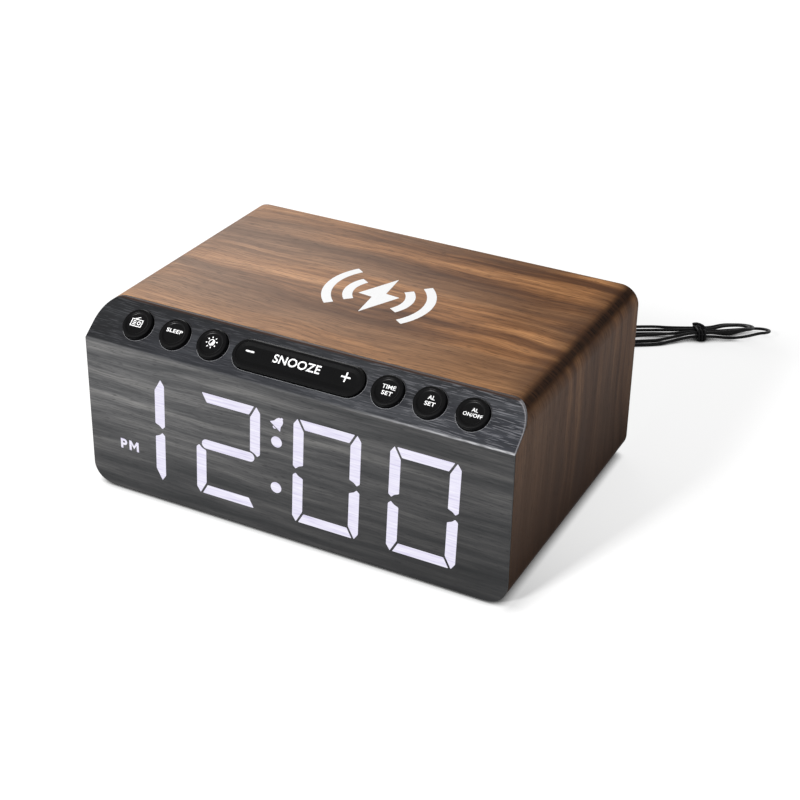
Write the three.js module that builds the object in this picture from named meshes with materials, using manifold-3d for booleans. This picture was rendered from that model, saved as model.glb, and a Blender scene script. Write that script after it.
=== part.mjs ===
// Bedside clock radio: a wood-wrapped sleeve, a dark front that slopes back under a row of keys,
// a charging top, and a wire aerial tied in a hank behind it.
// Millimetres, +Z up, front towards -Y, origin on the table under the middle of the case.
import * as THREE from 'three';
import { mergeVertices } from 'three/addons/utils/BufferGeometryUtils.js';
import Module from 'manifold-3d';

const wasm = await Module();
wasm.setup();

// Case
const width = 180;
const depth = 122;
const height = 77;
const cornerRadius = 8;
const wall = 6;
const innerFillet = 2;
const slopeRise = 12.5;
const slopeRun = 15.8;
const footHeight = 1.2;
const footRadius = 6;
const footInset = 17;

// Fits
const clearance = 0.3;
const overrun = 5;

// Front panel
const panelFace = 0.8;
const panelThickness = 2.6;
const postRadius = 2.2;
const pilotRadius = 0.9;

// Keys
const keyDiameter = 12.2;
const keyPitch = 16.75;
const keyEndMargin = 19.6;
const keyBarGap = 3.3;
const keyProud = 2;
const keyBevel = 0.7;
const keyRingWidth = 0.9;
const keyDish = 0.45;
const keyLip = 0.9;
const keyFlange = 1;
const keyTravel = 0.6;
const barTravel = 0.5;
const barRock = THREE.MathUtils.degToRad(1);
const barStemShare = 0.72;
const barShell = 1.2;
const plungerRadius = 2.4;
const tipRadius = 1.2;
const tipInsertion = 0.6;
const pocketMargin = 0.6;

// Switches and key board
const switchSide = 6;
const switchHeight = 2.5;
const boreDepth = 2;
const keyBoardWidth = 13;
const keyBoardThickness = 1.2;

// Display
const diffuserThickness = 0.4;
const maskDepth = 4.4;
const lampBoardThickness = 1.4;
const digitMargin = 9.9;
const digitGap = 11.75;
const colonGap = 14.3;
const firstGap = 14.45;
const displayMargin = 8.9;
const markRoom = 19.3;
const segmentWidth = 4.3;
const barThickness = 4;
const segmentGap = 0.9;
const segmentChamfer = 2.4;
const mitreShare = 0.5;
const barInset = 2.4;
const peakInset = 1.2;
const digitSlant = THREE.MathUtils.degToRad(1.7);
const dotRadius = 2.3;
const dotInset = 12.35;
const markWidth = 8.4;
const markHeight = 4.6;
const markInset = 2.3;
const bellSize = 5.4;
const bellTilt = THREE.MathUtils.degToRad(39);
const lampSide = 1.6;
const lampHeight = 0.7;

// Back cover and what it carries
const coverThickness = 2.4;
const coverRecess = 0.8;
const blockSide = 12;
const blockLength = 14;
const screwRadius = 1.25;
const screwHeadRadius = 2.6;
const screwHeadHeight = 1.2;
const screwLength = 10;
const smallScrewRadius = 0.6;
const smallScrewHeadRadius = 1.7;
const smallScrewHeadHeight = 0.9;
const smallScrewLength = 3.2;
const shelfHeight = 2.8;
const shelfThickness = 2;
const shelfMargin = 3;
const bossHeight = 3;
const mainBoardGap = 6;
const mainBoardDepth = 44;
const mainBoardThickness = 1.6;
const mainBoardMargin = 34;
const boardBossInset = 5;

// Sockets
const chargeSocketShift = -12;
const chargeSocketWidth = 13.1;
const chargeSocketHeight = 5.7;
const chargeSocketDepth = 14;
const chargeSocketWall = 0.5;
const tongueWidth = 11;
const tongueThickness = 1.8;
const tongueLength = 9;
const jackShift = 16;
const jackWidth = 9;
const jackHeight = 11;
const jackDepth = 13;
const jackBarrelRadius = 4;
const jackBoreRadius = 2.9;
const jackPinRadius = 1;
const jackBoreDepth = 9;

// Speaker
const speakerMargin = 38;
const speakerRadius = 20;
const speakerFlange = 1.5;
const speakerRim = 3.2;
const basketDepth = 8;
const basketWall = 1;
const magnetRadius = 13;
const magnetLength = 8;
const coneThickness = 0.6;
const coneDepth = 5.5;
const voiceCoilRadius = 6.5;
const ringWall = 1.4;
const ringHeight = 4;
const slotWidth = 2;
const slotPitch = 4;
const slotRoundShare = 0.49;

// Charging coil
const coilY = 4;
const coilRoof = 3;
const coilRadius = 22;
const coilHole = 8.5;
const coilThickness = 1.6;
const ferriteThickness = 1.2;
const ferriteLip = 2;

// Battery compartment
const batteryShift = -3;
const batteryMargin = 8;
const doorWidth = 28;
const doorHeight = 26;
const doorThickness = 1.1;
const doorRebate = 2;
const doorGrip = 0.5;
const doorGripWidth = 12;
const doorGripHeight = 3;
const cellRadius = 10;
const cellThickness = 3.2;
const holderWall = 1.2;
const doorFillet = 2;

// Aerial
const wireDiameter = 1.4;
const grommetMargin = 22;
const grommetRise = 12.8;
const grommetRadius = 2.3;
const grommetFlangeRadius = 3.6;
const grommetFlange = 1.2;
const grommetNose = 5;
const grommetNoseRadius = 1.3;
const hankLoops = 3;
const hankPitch = 1.95;
const hankFoldRadius = 4.4;
const hankNearX = 8;
const hankNearDistance = 70;
const hankFarX = 118;
const hankFarDistance = 139;
const hankTieFromFar = 40;
const hankFarFlare = 13;
const hankUpperSetback = 9;
const hankTieLength = 5;
const hankTieWall = 0.9;
const hankTieGap = 0.5;

// Counts
const outlineSegments = 10;
const keySides = 20;
const roundSides = 28;
const smallSides = 12;
const pinSides = 6;
const wireSides = 8;
const hankSides = 6;
const foldSteps = 9;
const barEndSteps = 4;
const leadSteps = 40;

const half = 0.5;
const quarterTurn = Math.PI / 2;
const weldTolerance = 1e-4;

// Places worked out from the sizes above
const frontY = -depth * half;
const backY = depth * half;
const innerHalf = width * half - wall;
const floorZ = footHeight + wall;
const ceilingZ = height - wall;
const creaseHeight = height - slopeRise;
const slopeAngle = Math.atan2(slopeRise, slopeRun);
const slopeLength = Math.hypot(slopeRise, slopeRun);
const panelBack = frontY + panelThickness;

const keyRadius = keyDiameter * half;
const keyFlangeRadius = keyRadius + keyLip;
const keyRow = slopeLength * half;
const outerKeyX = width * half - keyEndMargin;
const innerKeyX = outerKeyX - 2 * keyPitch;
const barHalf = innerKeyX - keyRadius - keyBarGap - keyRadius;
const barReach = barHalf + keyFlangeRadius;
const barStemX = (barHalf + keyRadius) * barStemShare;
const keyFlangeTop = -(panelThickness + clearance);
const keyFlangeBottom = keyFlangeTop - keyFlange;
const switchTop = keyFlangeBottom - keyTravel - clearance;
const switchBottom = switchTop - switchHeight;
const keyBoardTop = switchBottom - clearance;
const keyBoardBottom = keyBoardTop - keyBoardThickness;
const tipEnd = switchTop - tipInsertion;
const boreRadius = tipRadius + clearance;
const pocketTop = keyRow + keyFlangeRadius + pocketMargin;
const keyPostX = innerHalf - 2 * clearance - postRadius;

const keyBoardLowZ = creaseHeight + (keyRow - keyBoardWidth * half) * Math.sin(slopeAngle)
  + keyBoardBottom * Math.cos(slopeAngle);
const displayBottom = floorZ + 2 * clearance;
const displayTop = keyBoardLowZ - 2 * clearance;
const digitMiddle = creaseHeight * half;
const digitHeight = creaseHeight - 2 * digitMargin;
const diffuserFront = panelBack + clearance;
const maskFront = diffuserFront + diffuserThickness + clearance;
const maskBack = maskFront + maskDepth;
const lampBoardFront = maskBack + clearance;
const lampBoardBack = lampBoardFront + lampBoardThickness;
const lampPostX = innerHalf - 2 * clearance - postRadius;
const maskHalf = lampPostX - postRadius - clearance;
const lampBoardHalf = innerHalf - 2 * clearance;
const lampPostInset = postRadius + screwHeadRadius;

// Three whole digits and the first digit's right half share the mask's width, past the marks' room
const digitWidth = (2 * maskHalf - displayMargin - digitGap - colonGap - firstGap
  - segmentWidth - markRoom) / 3;

const coverOuter = backY - coverRecess;
const coverInner = coverOuter - coverThickness;
const blockX = innerHalf - clearance - blockSide * half;
const blockLow = floorZ + clearance + blockSide * half;
const blockHigh = ceilingZ - clearance - blockSide * half;
const screwPlaces = [[-blockX, blockLow], [blockX, blockLow], [-blockX, blockHigh], [blockX, blockHigh]];
const shelfZ = floorZ + shelfHeight;
const shelfTop = shelfZ + shelfThickness;
const mainBoardZ = shelfTop + bossHeight + clearance;
const mainBoardTop = mainBoardZ + mainBoardThickness;
const mainBoardBack = coverInner - clearance;
const mainBoardMiddleY = mainBoardBack - mainBoardDepth * half;
const socketBase = mainBoardTop + clearance;
const speakerZ = (floorZ + ceilingZ) * half;
const speakerX = speakerMargin - innerHalf;
const mainBoardLeft = speakerX + speakerRadius + mainBoardGap;
const mainBoardRight = innerHalf - mainBoardMargin;
const mainBoardWidth = mainBoardRight - mainBoardLeft;
const mainBoardX = (mainBoardLeft + mainBoardRight) * half;
const chargeSocketX = mainBoardX + chargeSocketShift;
const jackX = mainBoardX + jackShift;
const batteryX = mainBoardX + batteryShift;
const batteryZ = ceilingZ - batteryMargin - doorHeight * half;
const grommetX = innerHalf - grommetMargin;
const grommetZ = floorZ + grommetRise;

// Closed shapes in and out of the boolean library

function toManifold(geometry) {
  const plain = new THREE.BufferGeometry();
  plain.setAttribute('position', geometry.getAttribute('position').clone());
  if (geometry.index) {
    plain.setIndex(geometry.index.clone());
  }
  const welded = mergeVertices(plain, weldTolerance);
  const corners = welded.index.array;
  const points = welded.getAttribute('position').array;
  const triangles = [];
  for (let i = 0; i < corners.length; i += 3) {
    const [a, b, c] = [corners[i], corners[i + 1], corners[i + 2]];
    if (a !== b && b !== c && c !== a) {
      triangles.push(a, b, c);
    }
  }
  if (signedVolume(points, triangles) < 0) {
    triangles.reverse();
  }
  return new wasm.Manifold(new wasm.Mesh({
    numProp: 3,
    vertProperties: new Float32Array(points),
    triVerts: new Uint32Array(triangles),
  }));
}

function signedVolume(points, triangles) {
  const [p, q, r] = [new THREE.Vector3(), new THREE.Vector3(), new THREE.Vector3()];
  let six = 0;
  for (let i = 0; i < triangles.length; i += 3) {
    p.fromArray(points, 3 * triangles[i]);
    q.fromArray(points, 3 * triangles[i + 1]);
    r.fromArray(points, 3 * triangles[i + 2]);
    six += p.dot(q.cross(r));
  }
  return six;
}

function toGeometry(manifold) {
  const mesh = manifold.getMesh();
  const geometry = new THREE.BufferGeometry();
  geometry.setAttribute('position', new THREE.BufferAttribute(new Float32Array(mesh.vertProperties), 3));
  geometry.setIndex(new THREE.BufferAttribute(new Uint32Array(mesh.triVerts), 1));
  return geometry;
}

// Joins and cuts take geometries or earlier results, and give a solid that piece() turns into a mesh
const solid = (shape) => (shape.isBufferGeometry ? toManifold(shape) : shape);
const join = (first, ...others) => others.reduce((body, other) => body.add(solid(other)), solid(first));
const cut = (first, ...tools) => tools.reduce((body, tool) => body.subtract(solid(tool)), solid(first));
const common = (first, second) => solid(first).intersect(solid(second));

// Basic closed shapes, each written as the space that it fills

function block(x0, x1, y0, y1, z0, z1) {
  const box = new THREE.BoxGeometry(x1 - x0, y1 - y0, z1 - z0);
  return box.translate((x0 + x1) * half, (y0 + y1) * half, (z0 + z1) * half);
}

// A rod along Z, and one along Y
function rodZ(radius, x, y, z0, z1, sides = smallSides) {
  const rod = new THREE.CylinderGeometry(radius, radius, z1 - z0, sides);
  return rod.rotateX(quarterTurn).translate(x, y, (z0 + z1) * half);
}

function rodY(radius, x, z, y0, y1, sides = smallSides) {
  const rod = new THREE.CylinderGeometry(radius, radius, y1 - y0, sides);
  return rod.translate(x, (y0 + y1) * half, z);
}

// A turned shape from [radius, height] points; its axis is Z, or Y
const turnedY = (profile, sides) => new THREE.LatheGeometry(
  profile.map(([radius, along]) => new THREE.Vector2(radius, along)), sides);

const turnedZ = (profile, sides) => turnedY(profile, sides).rotateX(quarterTurn);

// Flat outlines pushed through a thickness: an XZ outline along Y, and a YZ outline along X
function throughY(shape, y0, y1, curveSegments = outlineSegments) {
  const body = new THREE.ExtrudeGeometry(shape, { depth: y1 - y0, bevelEnabled: false, curveSegments });
  return body.rotateX(quarterTurn).translate(0, y1, 0);
}

function throughX(shape, x0, x1) {
  const body = new THREE.ExtrudeGeometry(shape, { depth: x1 - x0, bevelEnabled: false });
  const turn = new THREE.Matrix4().makeBasis(
    new THREE.Vector3(0, 1, 0), new THREE.Vector3(0, 0, 1), new THREE.Vector3(1, 0, 0));
  return body.applyMatrix4(turn).translate(x0, 0, 0);
}

function roundedRectangle(x0, x1, y0, y1, radius) {
  const shape = new THREE.Shape();
  shape.moveTo(x0 + radius, y0);
  shape.lineTo(x1 - radius, y0);
  shape.absarc(x1 - radius, y0 + radius, radius, -quarterTurn, 0);
  shape.lineTo(x1, y1 - radius);
  shape.absarc(x1 - radius, y1 - radius, radius, 0, quarterTurn);
  shape.lineTo(x0 + radius, y1);
  shape.absarc(x0 + radius, y1 - radius, radius, quarterTurn, Math.PI);
  shape.lineTo(x0, y0 + radius);
  shape.absarc(x0 + radius, y0 + radius, radius, Math.PI, 3 * quarterTurn);
  return shape;
}

// The case's outline seen from the front, drawn in by a distance
const caseOutline = (inset, radius) => roundedRectangle(
  inset - width * half, width * half - inset, footHeight + inset, height - inset, radius);

// A polygon from [x, y] points
const polygon = (points) => new THREE.Shape(points.map(([x, y]) => new THREE.Vector2(x, y)));

// The front's side view: an upright line and a sloping one, set back by a distance
function frontLine(setBack) {
  const rise = Math.tan(slopeAngle);
  const drop = setBack / Math.cos(slopeAngle);
  const y = frontY + setBack;
  const crease = creaseHeight + setBack * rise - drop;
  const topZ = height + overrun;
  const topY = frontY + (topZ - creaseHeight + drop) / rise;
  return [[y, -overrun], [y, crease], [topY, topZ]];
}

// The layer of the front between two distances behind its face
const frontLayer = (outer, inner) => throughX(
  polygon([...frontLine(outer), ...frontLine(inner).reverse()]),
  -width * half - overrun, width * half + overrun);

// Everything in front of a distance behind the face
const frontSpace = (setBack) => throughX(
  polygon([...frontLine(setBack), [frontY - overrun, height + overrun], [frontY - overrun, -overrun]]),
  -width * half - overrun, width * half + overrun);

// The slope's own frame: X along the row of keys, Y up the slope, Z straight out of it
const slopeFrame = new THREE.Matrix4().makeRotationX(slopeAngle).setPosition(0, frontY, creaseHeight);
const onSlope = (geometry) => geometry.applyMatrix4(slopeFrame);

// A turned profile stretched along X into a bar with round ends
function stadium(profile, halfStraight, arcSteps) {
  const rings = profile.map(([radius, along]) => {
    const ring = [];
    for (const side of [1, -1]) {
      for (let i = 0; i <= arcSteps; i += 1) {
        const angle = (i / arcSteps - half) * Math.PI + (side < 0 ? Math.PI : 0);
        ring.push([side * halfStraight + radius * Math.cos(angle), radius * Math.sin(angle), along]);
      }
    }
    return ring;
  });
  const positions = [];
  const count = rings[0].length;
  for (let k = 0; k + 1 < rings.length; k += 1) {
    for (let i = 0; i < count; i += 1) {
      const next = (i + 1) % count;
      const [a, b, c, d] = [rings[k][i], rings[k][next], rings[k + 1][next], rings[k + 1][i]];
      positions.push(...a, ...b, ...c, ...a, ...c, ...d);
    }
  }
  const geometry = new THREE.BufferGeometry();
  geometry.setAttribute('position', new THREE.Float32BufferAttribute(positions, 3));
  return geometry;
}

// A tube of one thickness along a list of points, its section carried along without twist
function tube(points, radius, sides) {
  const at = points.map((p) => new THREE.Vector3(...p));
  const last = at.length - 1;
  const along = at.map((p, i) => at[Math.min(i + 1, last)].clone().sub(at[Math.max(i - 1, 0)]).normalize());
  const up = new THREE.Vector3(0, 0, 1);
  let side = new THREE.Vector3().crossVectors(along[0], up).normalize();
  const rings = at.map((p, i) => {
    if (i > 0) {
      side.applyQuaternion(new THREE.Quaternion().setFromUnitVectors(along[i - 1], along[i]));
    }
    side.addScaledVector(along[i], -side.dot(along[i])).normalize();
    const other = new THREE.Vector3().crossVectors(side, along[i]);
    return Array.from({ length: sides }, (_, k) => {
      const angle = (k / sides) * 2 * Math.PI;
      return p.clone().addScaledVector(side, radius * Math.cos(angle))
        .addScaledVector(other, radius * Math.sin(angle));
    });
  });
  const positions = [];
  const face = (...corners) => corners.forEach((corner) => positions.push(corner.x, corner.y, corner.z));
  for (let i = 0; i < last; i += 1) {
    for (let k = 0; k < sides; k += 1) {
      const next = (k + 1) % sides;
      face(rings[i][k], rings[i][next], rings[i + 1][next]);
      face(rings[i][k], rings[i + 1][next], rings[i + 1][k]);
    }
  }
  for (let k = 1; k + 1 < sides; k += 1) {
    face(rings[0][0], rings[0][k + 1], rings[0][k]);
    face(rings[last][0], rings[last][k], rings[last][k + 1]);
  }
  const geometry = new THREE.BufferGeometry();
  geometry.setAttribute('position', new THREE.Float32BufferAttribute(positions, 3));
  return geometry;
}

// Finishes
const finish = (color, roughness, metalness = 0) => new THREE.MeshStandardMaterial({
  color, roughness, metalness,
});
const walnut = finish(0x5a3a28, 0.55);
const greyWood = finish(0x3a3b3f, 0.45);
const blackPlastic = finish(0x17181b, 0.5);
const blackRubber = finish(0x101012, 0.8);
const whitePlastic = finish(0xe6e6e2, 0.6);
const boardGreen = finish(0x1c5a34, 0.6);
const steel = finish(0xb4b6ba, 0.35, 1);
const copper = finish(0xb4713c, 0.4, 1);
const ferrite = finish(0x2b2a2c, 0.7);
const paper = finish(0x232325, 0.9);
const timber = finish(0xb28f62, 0.8);

const clock = new THREE.Group();
const keyStrip = new THREE.Group();
keyStrip.position.set(0, frontY, creaseHeight);
keyStrip.rotation.x = slopeAngle;
clock.add(keyStrip);

function piece(name, geometry, material, parent = clock, place = [0, 0, 0]) {
  const flat = toGeometry(solid(geometry)).toNonIndexed();
  flat.computeVertexNormals();
  const mesh = new THREE.Mesh(flat, material);
  mesh.name = name;
  mesh.position.set(...place);
  parent.add(mesh);
  return mesh;
}

// Case sleeve: bored through, cut back for the front, milled under the keys and under the charging spot

function makeSleeve() {
  const outline = caseOutline(0, cornerRadius);
  outline.holes.push(caseOutline(wall, innerFillet));
  const keyPocket = onSlope(block(-innerHalf, innerHalf, -overrun, pocketTop,
    keyBoardBottom - clearance, overrun));
  const coilPocket = rodZ(coilRadius + ferriteLip + clearance, 0, coilY, ceilingZ - overrun,
    height - coilRoof, roundSides);
  const body = cut(throughY(outline, frontY - overrun, backY),
    frontSpace(panelFace + clearance), keyPocket, coilPocket);
  piece('housing_sleeve', body, walnut);
}

function makeFeet() {
  const x = width * half - footInset;
  const y = depth * half - footInset;
  const profile = [[0, 0], [footRadius - footHeight * half, 0], [footRadius, footHeight], [0, footHeight]];
  [[-x, -y], [x, -y], [-x, y], [x, y]].forEach(([footX, footY], i) => {
    piece(`foot_${i + 1}`, turnedZ(profile, roundSides), blackRubber, clock, [footX, footY, 0]);
  });
}

// Front panel: a thin face over the sleeve's edge, a thicker lens inside it, key holes and posts

const keyPlaces = [-outerKeyX, keyPitch - outerKeyX, -innerKeyX,
  innerKeyX, outerKeyX - keyPitch, outerKeyX];
const keyNames = ['radio', 'sleep', 'dimmer', 'time_set', 'alarm_set', 'alarm_on_off'];
const restPosts = [-1, 1].map((side) => side * (innerKeyX + keyPitch * half));
const lampPostLow = displayBottom + lampPostInset;
const lampPostHigh = displayTop - lampPostInset;
const lampPostPlaces = [[-lampPostX, lampPostLow], [lampPostX, lampPostLow],
  [-lampPostX, lampPostHigh], [lampPostX, lampPostHigh]];

function makePanel() {
  const face = common(throughY(caseOutline(0, cornerRadius), frontY - overrun, 0),
    frontLayer(0, panelFace));
  const inside = join(throughY(caseOutline(wall + clearance, innerFillet), frontY - overrun, 0),
    onSlope(block(clearance - innerHalf, innerHalf - clearance, -overrun, pocketTop - clearance,
      -panelThickness - overrun, overrun)));
  const lens = common(inside, frontLayer(panelFace * half, panelThickness));
  const posts = [-keyPostX, keyPostX].map((x) => onSlope(
    rodZ(postRadius, x, keyRow, keyBoardTop + clearance, -panelFace)));
  const rests = restPosts.map((x) => onSlope(
    rodZ(postRadius * half, x, keyRow + keyBoardWidth * half - postRadius,
      keyBoardTop + clearance, -panelFace)));
  const lampPosts = lampPostPlaces.map(([x, z]) => rodY(postRadius, x, z,
    frontY + panelFace, lampBoardFront - clearance));
  const pilots = [-keyPostX, keyPostX].map((x) => onSlope(
    rodZ(pilotRadius, x, keyRow, keyBoardTop, -panelThickness)));
  const lampPilots = lampPostPlaces.slice(0, 2).map(([x, z]) => rodY(pilotRadius, x, z,
    panelBack, lampBoardFront));
  const keyHoles = keyPlaces.map((x) => onSlope(rodZ(keyRadius + clearance, x, keyRow,
    -panelThickness - clearance, clearance, roundSides)));
  const [holeRadius, holeEnd] = [keyRadius + clearance, -panelThickness - clearance];
  const barHole = onSlope(stadium(
    [[0, holeEnd], [holeRadius, holeEnd], [holeRadius, clearance], [0, clearance]],
    barHalf, keySides * half).translate(0, keyRow, 0));
  const body = cut(join(face, lens, ...posts, ...rests, ...lampPosts),
    ...pilots, ...lampPilots, ...keyHoles, barHole);
  piece('front_panel', body, greyWood);
}

// Keys: a dished cap in a bevelled ring, a lip that keeps it in, and a tip that enters its switch

const capProfile = (lowest) => [
  [keyFlangeRadius, lowest],
  [keyFlangeRadius, lowest + keyFlange],
  [keyRadius, lowest + keyFlange],
  [keyRadius, keyProud - keyBevel],
  [keyRadius - keyBevel, keyProud],
  [keyRadius - keyBevel - keyRingWidth, keyProud],
  [keyRadius - keyBevel - keyRingWidth, keyProud - keyDish * half],
  [keyRadius * half, keyProud - keyDish],
  [0, keyProud - keyDish],
];

function makeKeys() {
  const profile = [[0, tipEnd], [tipRadius, tipEnd], [tipRadius, keyFlangeBottom],
    ...capProfile(keyFlangeBottom)];
  keyPlaces.forEach((x, i) => {
    piece(`${keyNames[i]}_button`, turnedZ(profile, keySides), blackPlastic, keyStrip, [x, keyRow, 0]);
  });
}

// The bar is a shell that rocks on a plunger; its end stems enter the minus and plus switches

const barRise = Math.sin(barRock) * barReach;
const barLipBottom = keyFlangeTop - barRise - keyFlange;
const barRoof = keyProud - keyDish - barShell;
const stemRadius = tipRadius + barShell * half;
const stemDrop = barTravel + Math.sin(barRock) * (barStemX + stemRadius);
const stemShoulder = switchTop + stemDrop + clearance;

function makeBar() {
  const arcSteps = keySides * half;
  const shell = stadium([[0, barLipBottom], ...capProfile(barLipBottom)], barHalf, arcSteps);
  const hollow = stadium([[0, barLipBottom - overrun], [keyRadius - barShell, barLipBottom - overrun],
    [keyRadius - barShell, barRoof], [0, barRoof]], barHalf, arcSteps);
  const stems = [-barStemX, barStemX].flatMap((x) => [
    rodZ(stemRadius, x, 0, stemShoulder, barRoof + barShell * half),
    rodZ(tipRadius, x, 0, tipEnd, stemShoulder + barShell * half),
  ]);
  piece('snooze_bar', join(cut(shell, hollow), ...stems), blackPlastic, keyStrip, [0, keyRow, 0]);
  const shoulder = switchTop + barTravel + clearance;
  const plunger = [[0, tipEnd], [tipRadius, tipEnd], [tipRadius, shoulder], [plungerRadius, shoulder],
    [plungerRadius, barRoof - clearance], [0, barRoof - clearance]];
  piece('snooze_plunger', turnedZ(plunger, keySides), whitePlastic, keyStrip, [0, keyRow, 0]);
}

// Key board with nine switches and two screws

const switchPlaces = [...keyPlaces.map((x, i) => [keyNames[i], x]),
  ['minus', -barStemX], ['snooze', 0], ['plus', barStemX]];

function makeKeyBoard() {
  const reach = innerHalf - 2 * clearance;
  const board = cut(
    block(-reach, reach, keyRow - keyBoardWidth * half, keyRow + keyBoardWidth * half,
      keyBoardBottom, keyBoardTop),
    ...[-keyPostX, keyPostX].map((x) => rodZ(pilotRadius, x, keyRow,
      keyBoardBottom - overrun, keyBoardTop + overrun)));
  piece('key_board', board, boardGreen, keyStrip);
  const side = switchSide * half;
  const body = cut(block(-side, side, -side, side, switchBottom, switchTop),
    rodZ(boreRadius, 0, 0, switchTop - boreDepth, switchTop + overrun));
  switchPlaces.forEach(([name, x]) => {
    piece(`${name}_switch`, body, blackPlastic, keyStrip, [x, keyRow, 0]);
  });
  const head = keyBoardBottom - clearance;
  const screw = smallScrewProfile(head, 1);
  [-keyPostX, keyPostX].forEach((x, i) => {
    piece(`key_board_screw_${i + 1}`, turnedZ(screw, smallSides), steel, keyStrip, [x, keyRow, 0]);
  });
}

// A small screw from the underside of its head, its shank pointing up or down its axis
function smallScrewProfile(underHead, way) {
  const head = underHead - way * smallScrewHeadHeight;
  const end = underHead + way * smallScrewLength;
  return [[0, head], [smallScrewHeadRadius, head], [smallScrewHeadRadius, underHead],
    [smallScrewRadius, underHead], [smallScrewRadius, end], [0, end]];
}

// Display: seven-segment windows in a mask, with lamps behind and a diffuser in front

// One digit's segments as outlines, from its lower left corner. The corners are mitred, the outer
// ones cut off, and the middle bar has round ends that the upright segments make room for.
function segmentOutlines(names) {
  const [w, h, middle] = [digitWidth, digitHeight, digitHeight * half];
  const [t, radius] = [segmentWidth, barThickness * half];
  const mitre = t * mitreShare;
  const mitreRun = (t - mitre) / barThickness;
  const aside = segmentGap * half * Math.hypot(1, mitreRun);
  const room = radius + segmentGap;
  const knee = room * Math.SQRT1_2;
  const level = [[mitre + aside, h], [t + aside, h - barThickness],
    [w - t - aside, h - barThickness], [w - mitre - aside, h]];
  const upright = [[0, h - segmentChamfer], [mitre - aside, h], [t, h - barThickness - aside / mitreRun],
    [t, middle + room], [barInset + radius - knee, middle + knee], [peakInset, middle + segmentGap],
    [0, middle + radius]];
  const roundEnd = (x, side) => Array.from({ length: barEndSteps + 1 }, (_, i) => {
    const angle = (i / barEndSteps - half) * Math.PI;
    return [x + side * radius * Math.cos(angle), middle + side * radius * Math.sin(angle)];
  });
  const across = (points) => points.map(([x, z]) => [w - x, z]);
  const below = (points) => points.map(([x, z]) => [x, h - z]);
  const outlines = {
    a: level,
    b: across(upright),
    c: below(across(upright)),
    d: below(level),
    e: below(upright),
    f: upright,
    g: [...roundEnd(w - barInset - radius, 1), ...roundEnd(barInset + radius, -1)],
  };
  return names.split('').map((name) => outlines[name]);
}

// The digits are placed from the display's right end
const lastDigitX = maskHalf - displayMargin - digitWidth;
const thirdDigitX = lastDigitX - digitGap - digitWidth;
const secondDigitX = thirdDigitX - colonGap - digitWidth;
const firstDigitX = secondDigitX - firstGap - digitWidth;
const digitPlaces = [['bc', firstDigitX], ['abcdefg', secondDigitX],
  ['abcdefg', thirdDigitX], ['abcdefg', lastDigitX]];
const leanAt = (z) => (z - digitHeight * half) * Math.tan(digitSlant);
const colonX = thirdDigitX - colonGap * half;

function segmentWindows() {
  return digitPlaces.flatMap(([names, x]) => segmentOutlines(names).map((outline) => {
    const placed = outline.map(([u, v]) => [x + u + leanAt(v), digitMiddle - digitHeight * half + v]);
    return throughY(polygon(placed), maskFront - overrun, maskBack + overrun);
  }));
}

// The alarm bell's outline as shares of its size, from the middle of its mouth, leaning to the right
const bellShares = [[-0.5, 0], [0.5, 0], [0.36, 0.3], [0.24, 0.8], [0, 1], [-0.24, 0.8], [-0.36, 0.3]];

function bellOutline(x, z) {
  const [along, up] = [bellSize * Math.cos(bellTilt), bellSize * Math.sin(bellTilt)];
  return polygon(bellShares.map(([across, rise]) => [
    x + across * along + rise * up, z + rise * along - across * up]));
}

function makeDisplay() {
  const dots = [-1, 1].map((side) => {
    const rise = side * (digitHeight * half - dotInset);
    return rodY(dotRadius, colonX + rise * Math.tan(digitSlant), digitMiddle + rise,
      maskFront - overrun, maskBack + overrun);
  });
  const markX = -maskHalf + markInset + markWidth * half;
  const markZ = digitMiddle - digitHeight * half * half;
  const pmWindow = block(markX - markWidth * half, markX + markWidth * half, maskFront - overrun,
    maskBack + overrun, markZ - markHeight * half, markZ + markHeight * half);
  const bell = throughY(bellOutline(colonX, digitMiddle + digitHeight * half - bellSize),
    maskFront - overrun, maskBack + overrun);
  const mask = cut(block(-maskHalf, maskHalf, maskFront, maskBack, displayBottom, displayTop),
    ...segmentWindows(), ...dots, pmWindow, bell);
  piece('display_mask', mask, blackPlastic);
  piece('display_diffuser',
    block(-maskHalf, maskHalf, diffuserFront, diffuserFront + diffuserThickness, displayBottom, displayTop),
    whitePlastic);
  makeLampBoard();
}

function makeLampBoard() {
  const plain = block(-lampBoardHalf, lampBoardHalf, lampBoardFront, lampBoardBack,
    displayBottom, displayTop);
  const holes = lampPostPlaces.slice(0, 2).map(([x, z]) => rodY(pilotRadius, x, z,
    lampBoardFront - overrun, lampBoardBack + overrun));
  const lamps = digitPlaces.flatMap(([names, x]) => segmentOutlines(names).map((outline) => {
    const u = outline.reduce((sum, point) => sum + point[0], 0) / outline.length;
    const v = outline.reduce((sum, point) => sum + point[1], 0) / outline.length;
    const [lampX, lampZ] = [x + u + leanAt(v), digitMiddle - digitHeight * half + v];
    return block(lampX - lampSide * half, lampX + lampSide * half, lampBoardFront - lampHeight,
      lampBoardFront + lampHeight, lampZ - lampSide * half, lampZ + lampSide * half);
  }));
  piece('lamp_board', cut(join(plain, ...lamps), ...holes), boardGreen);
  const screw = smallScrewProfile(0, -1);
  lampPostPlaces.slice(0, 2).forEach(([x, z], i) => {
    piece(`lamp_board_screw_${i + 1}`, turnedY(screw, smallSides), steel, clock,
      [x, lampBoardBack + clearance, z]);
  });
}

// Back cover: grille, windows, battery rebate, board shelf and speaker ring in one moulding

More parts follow.
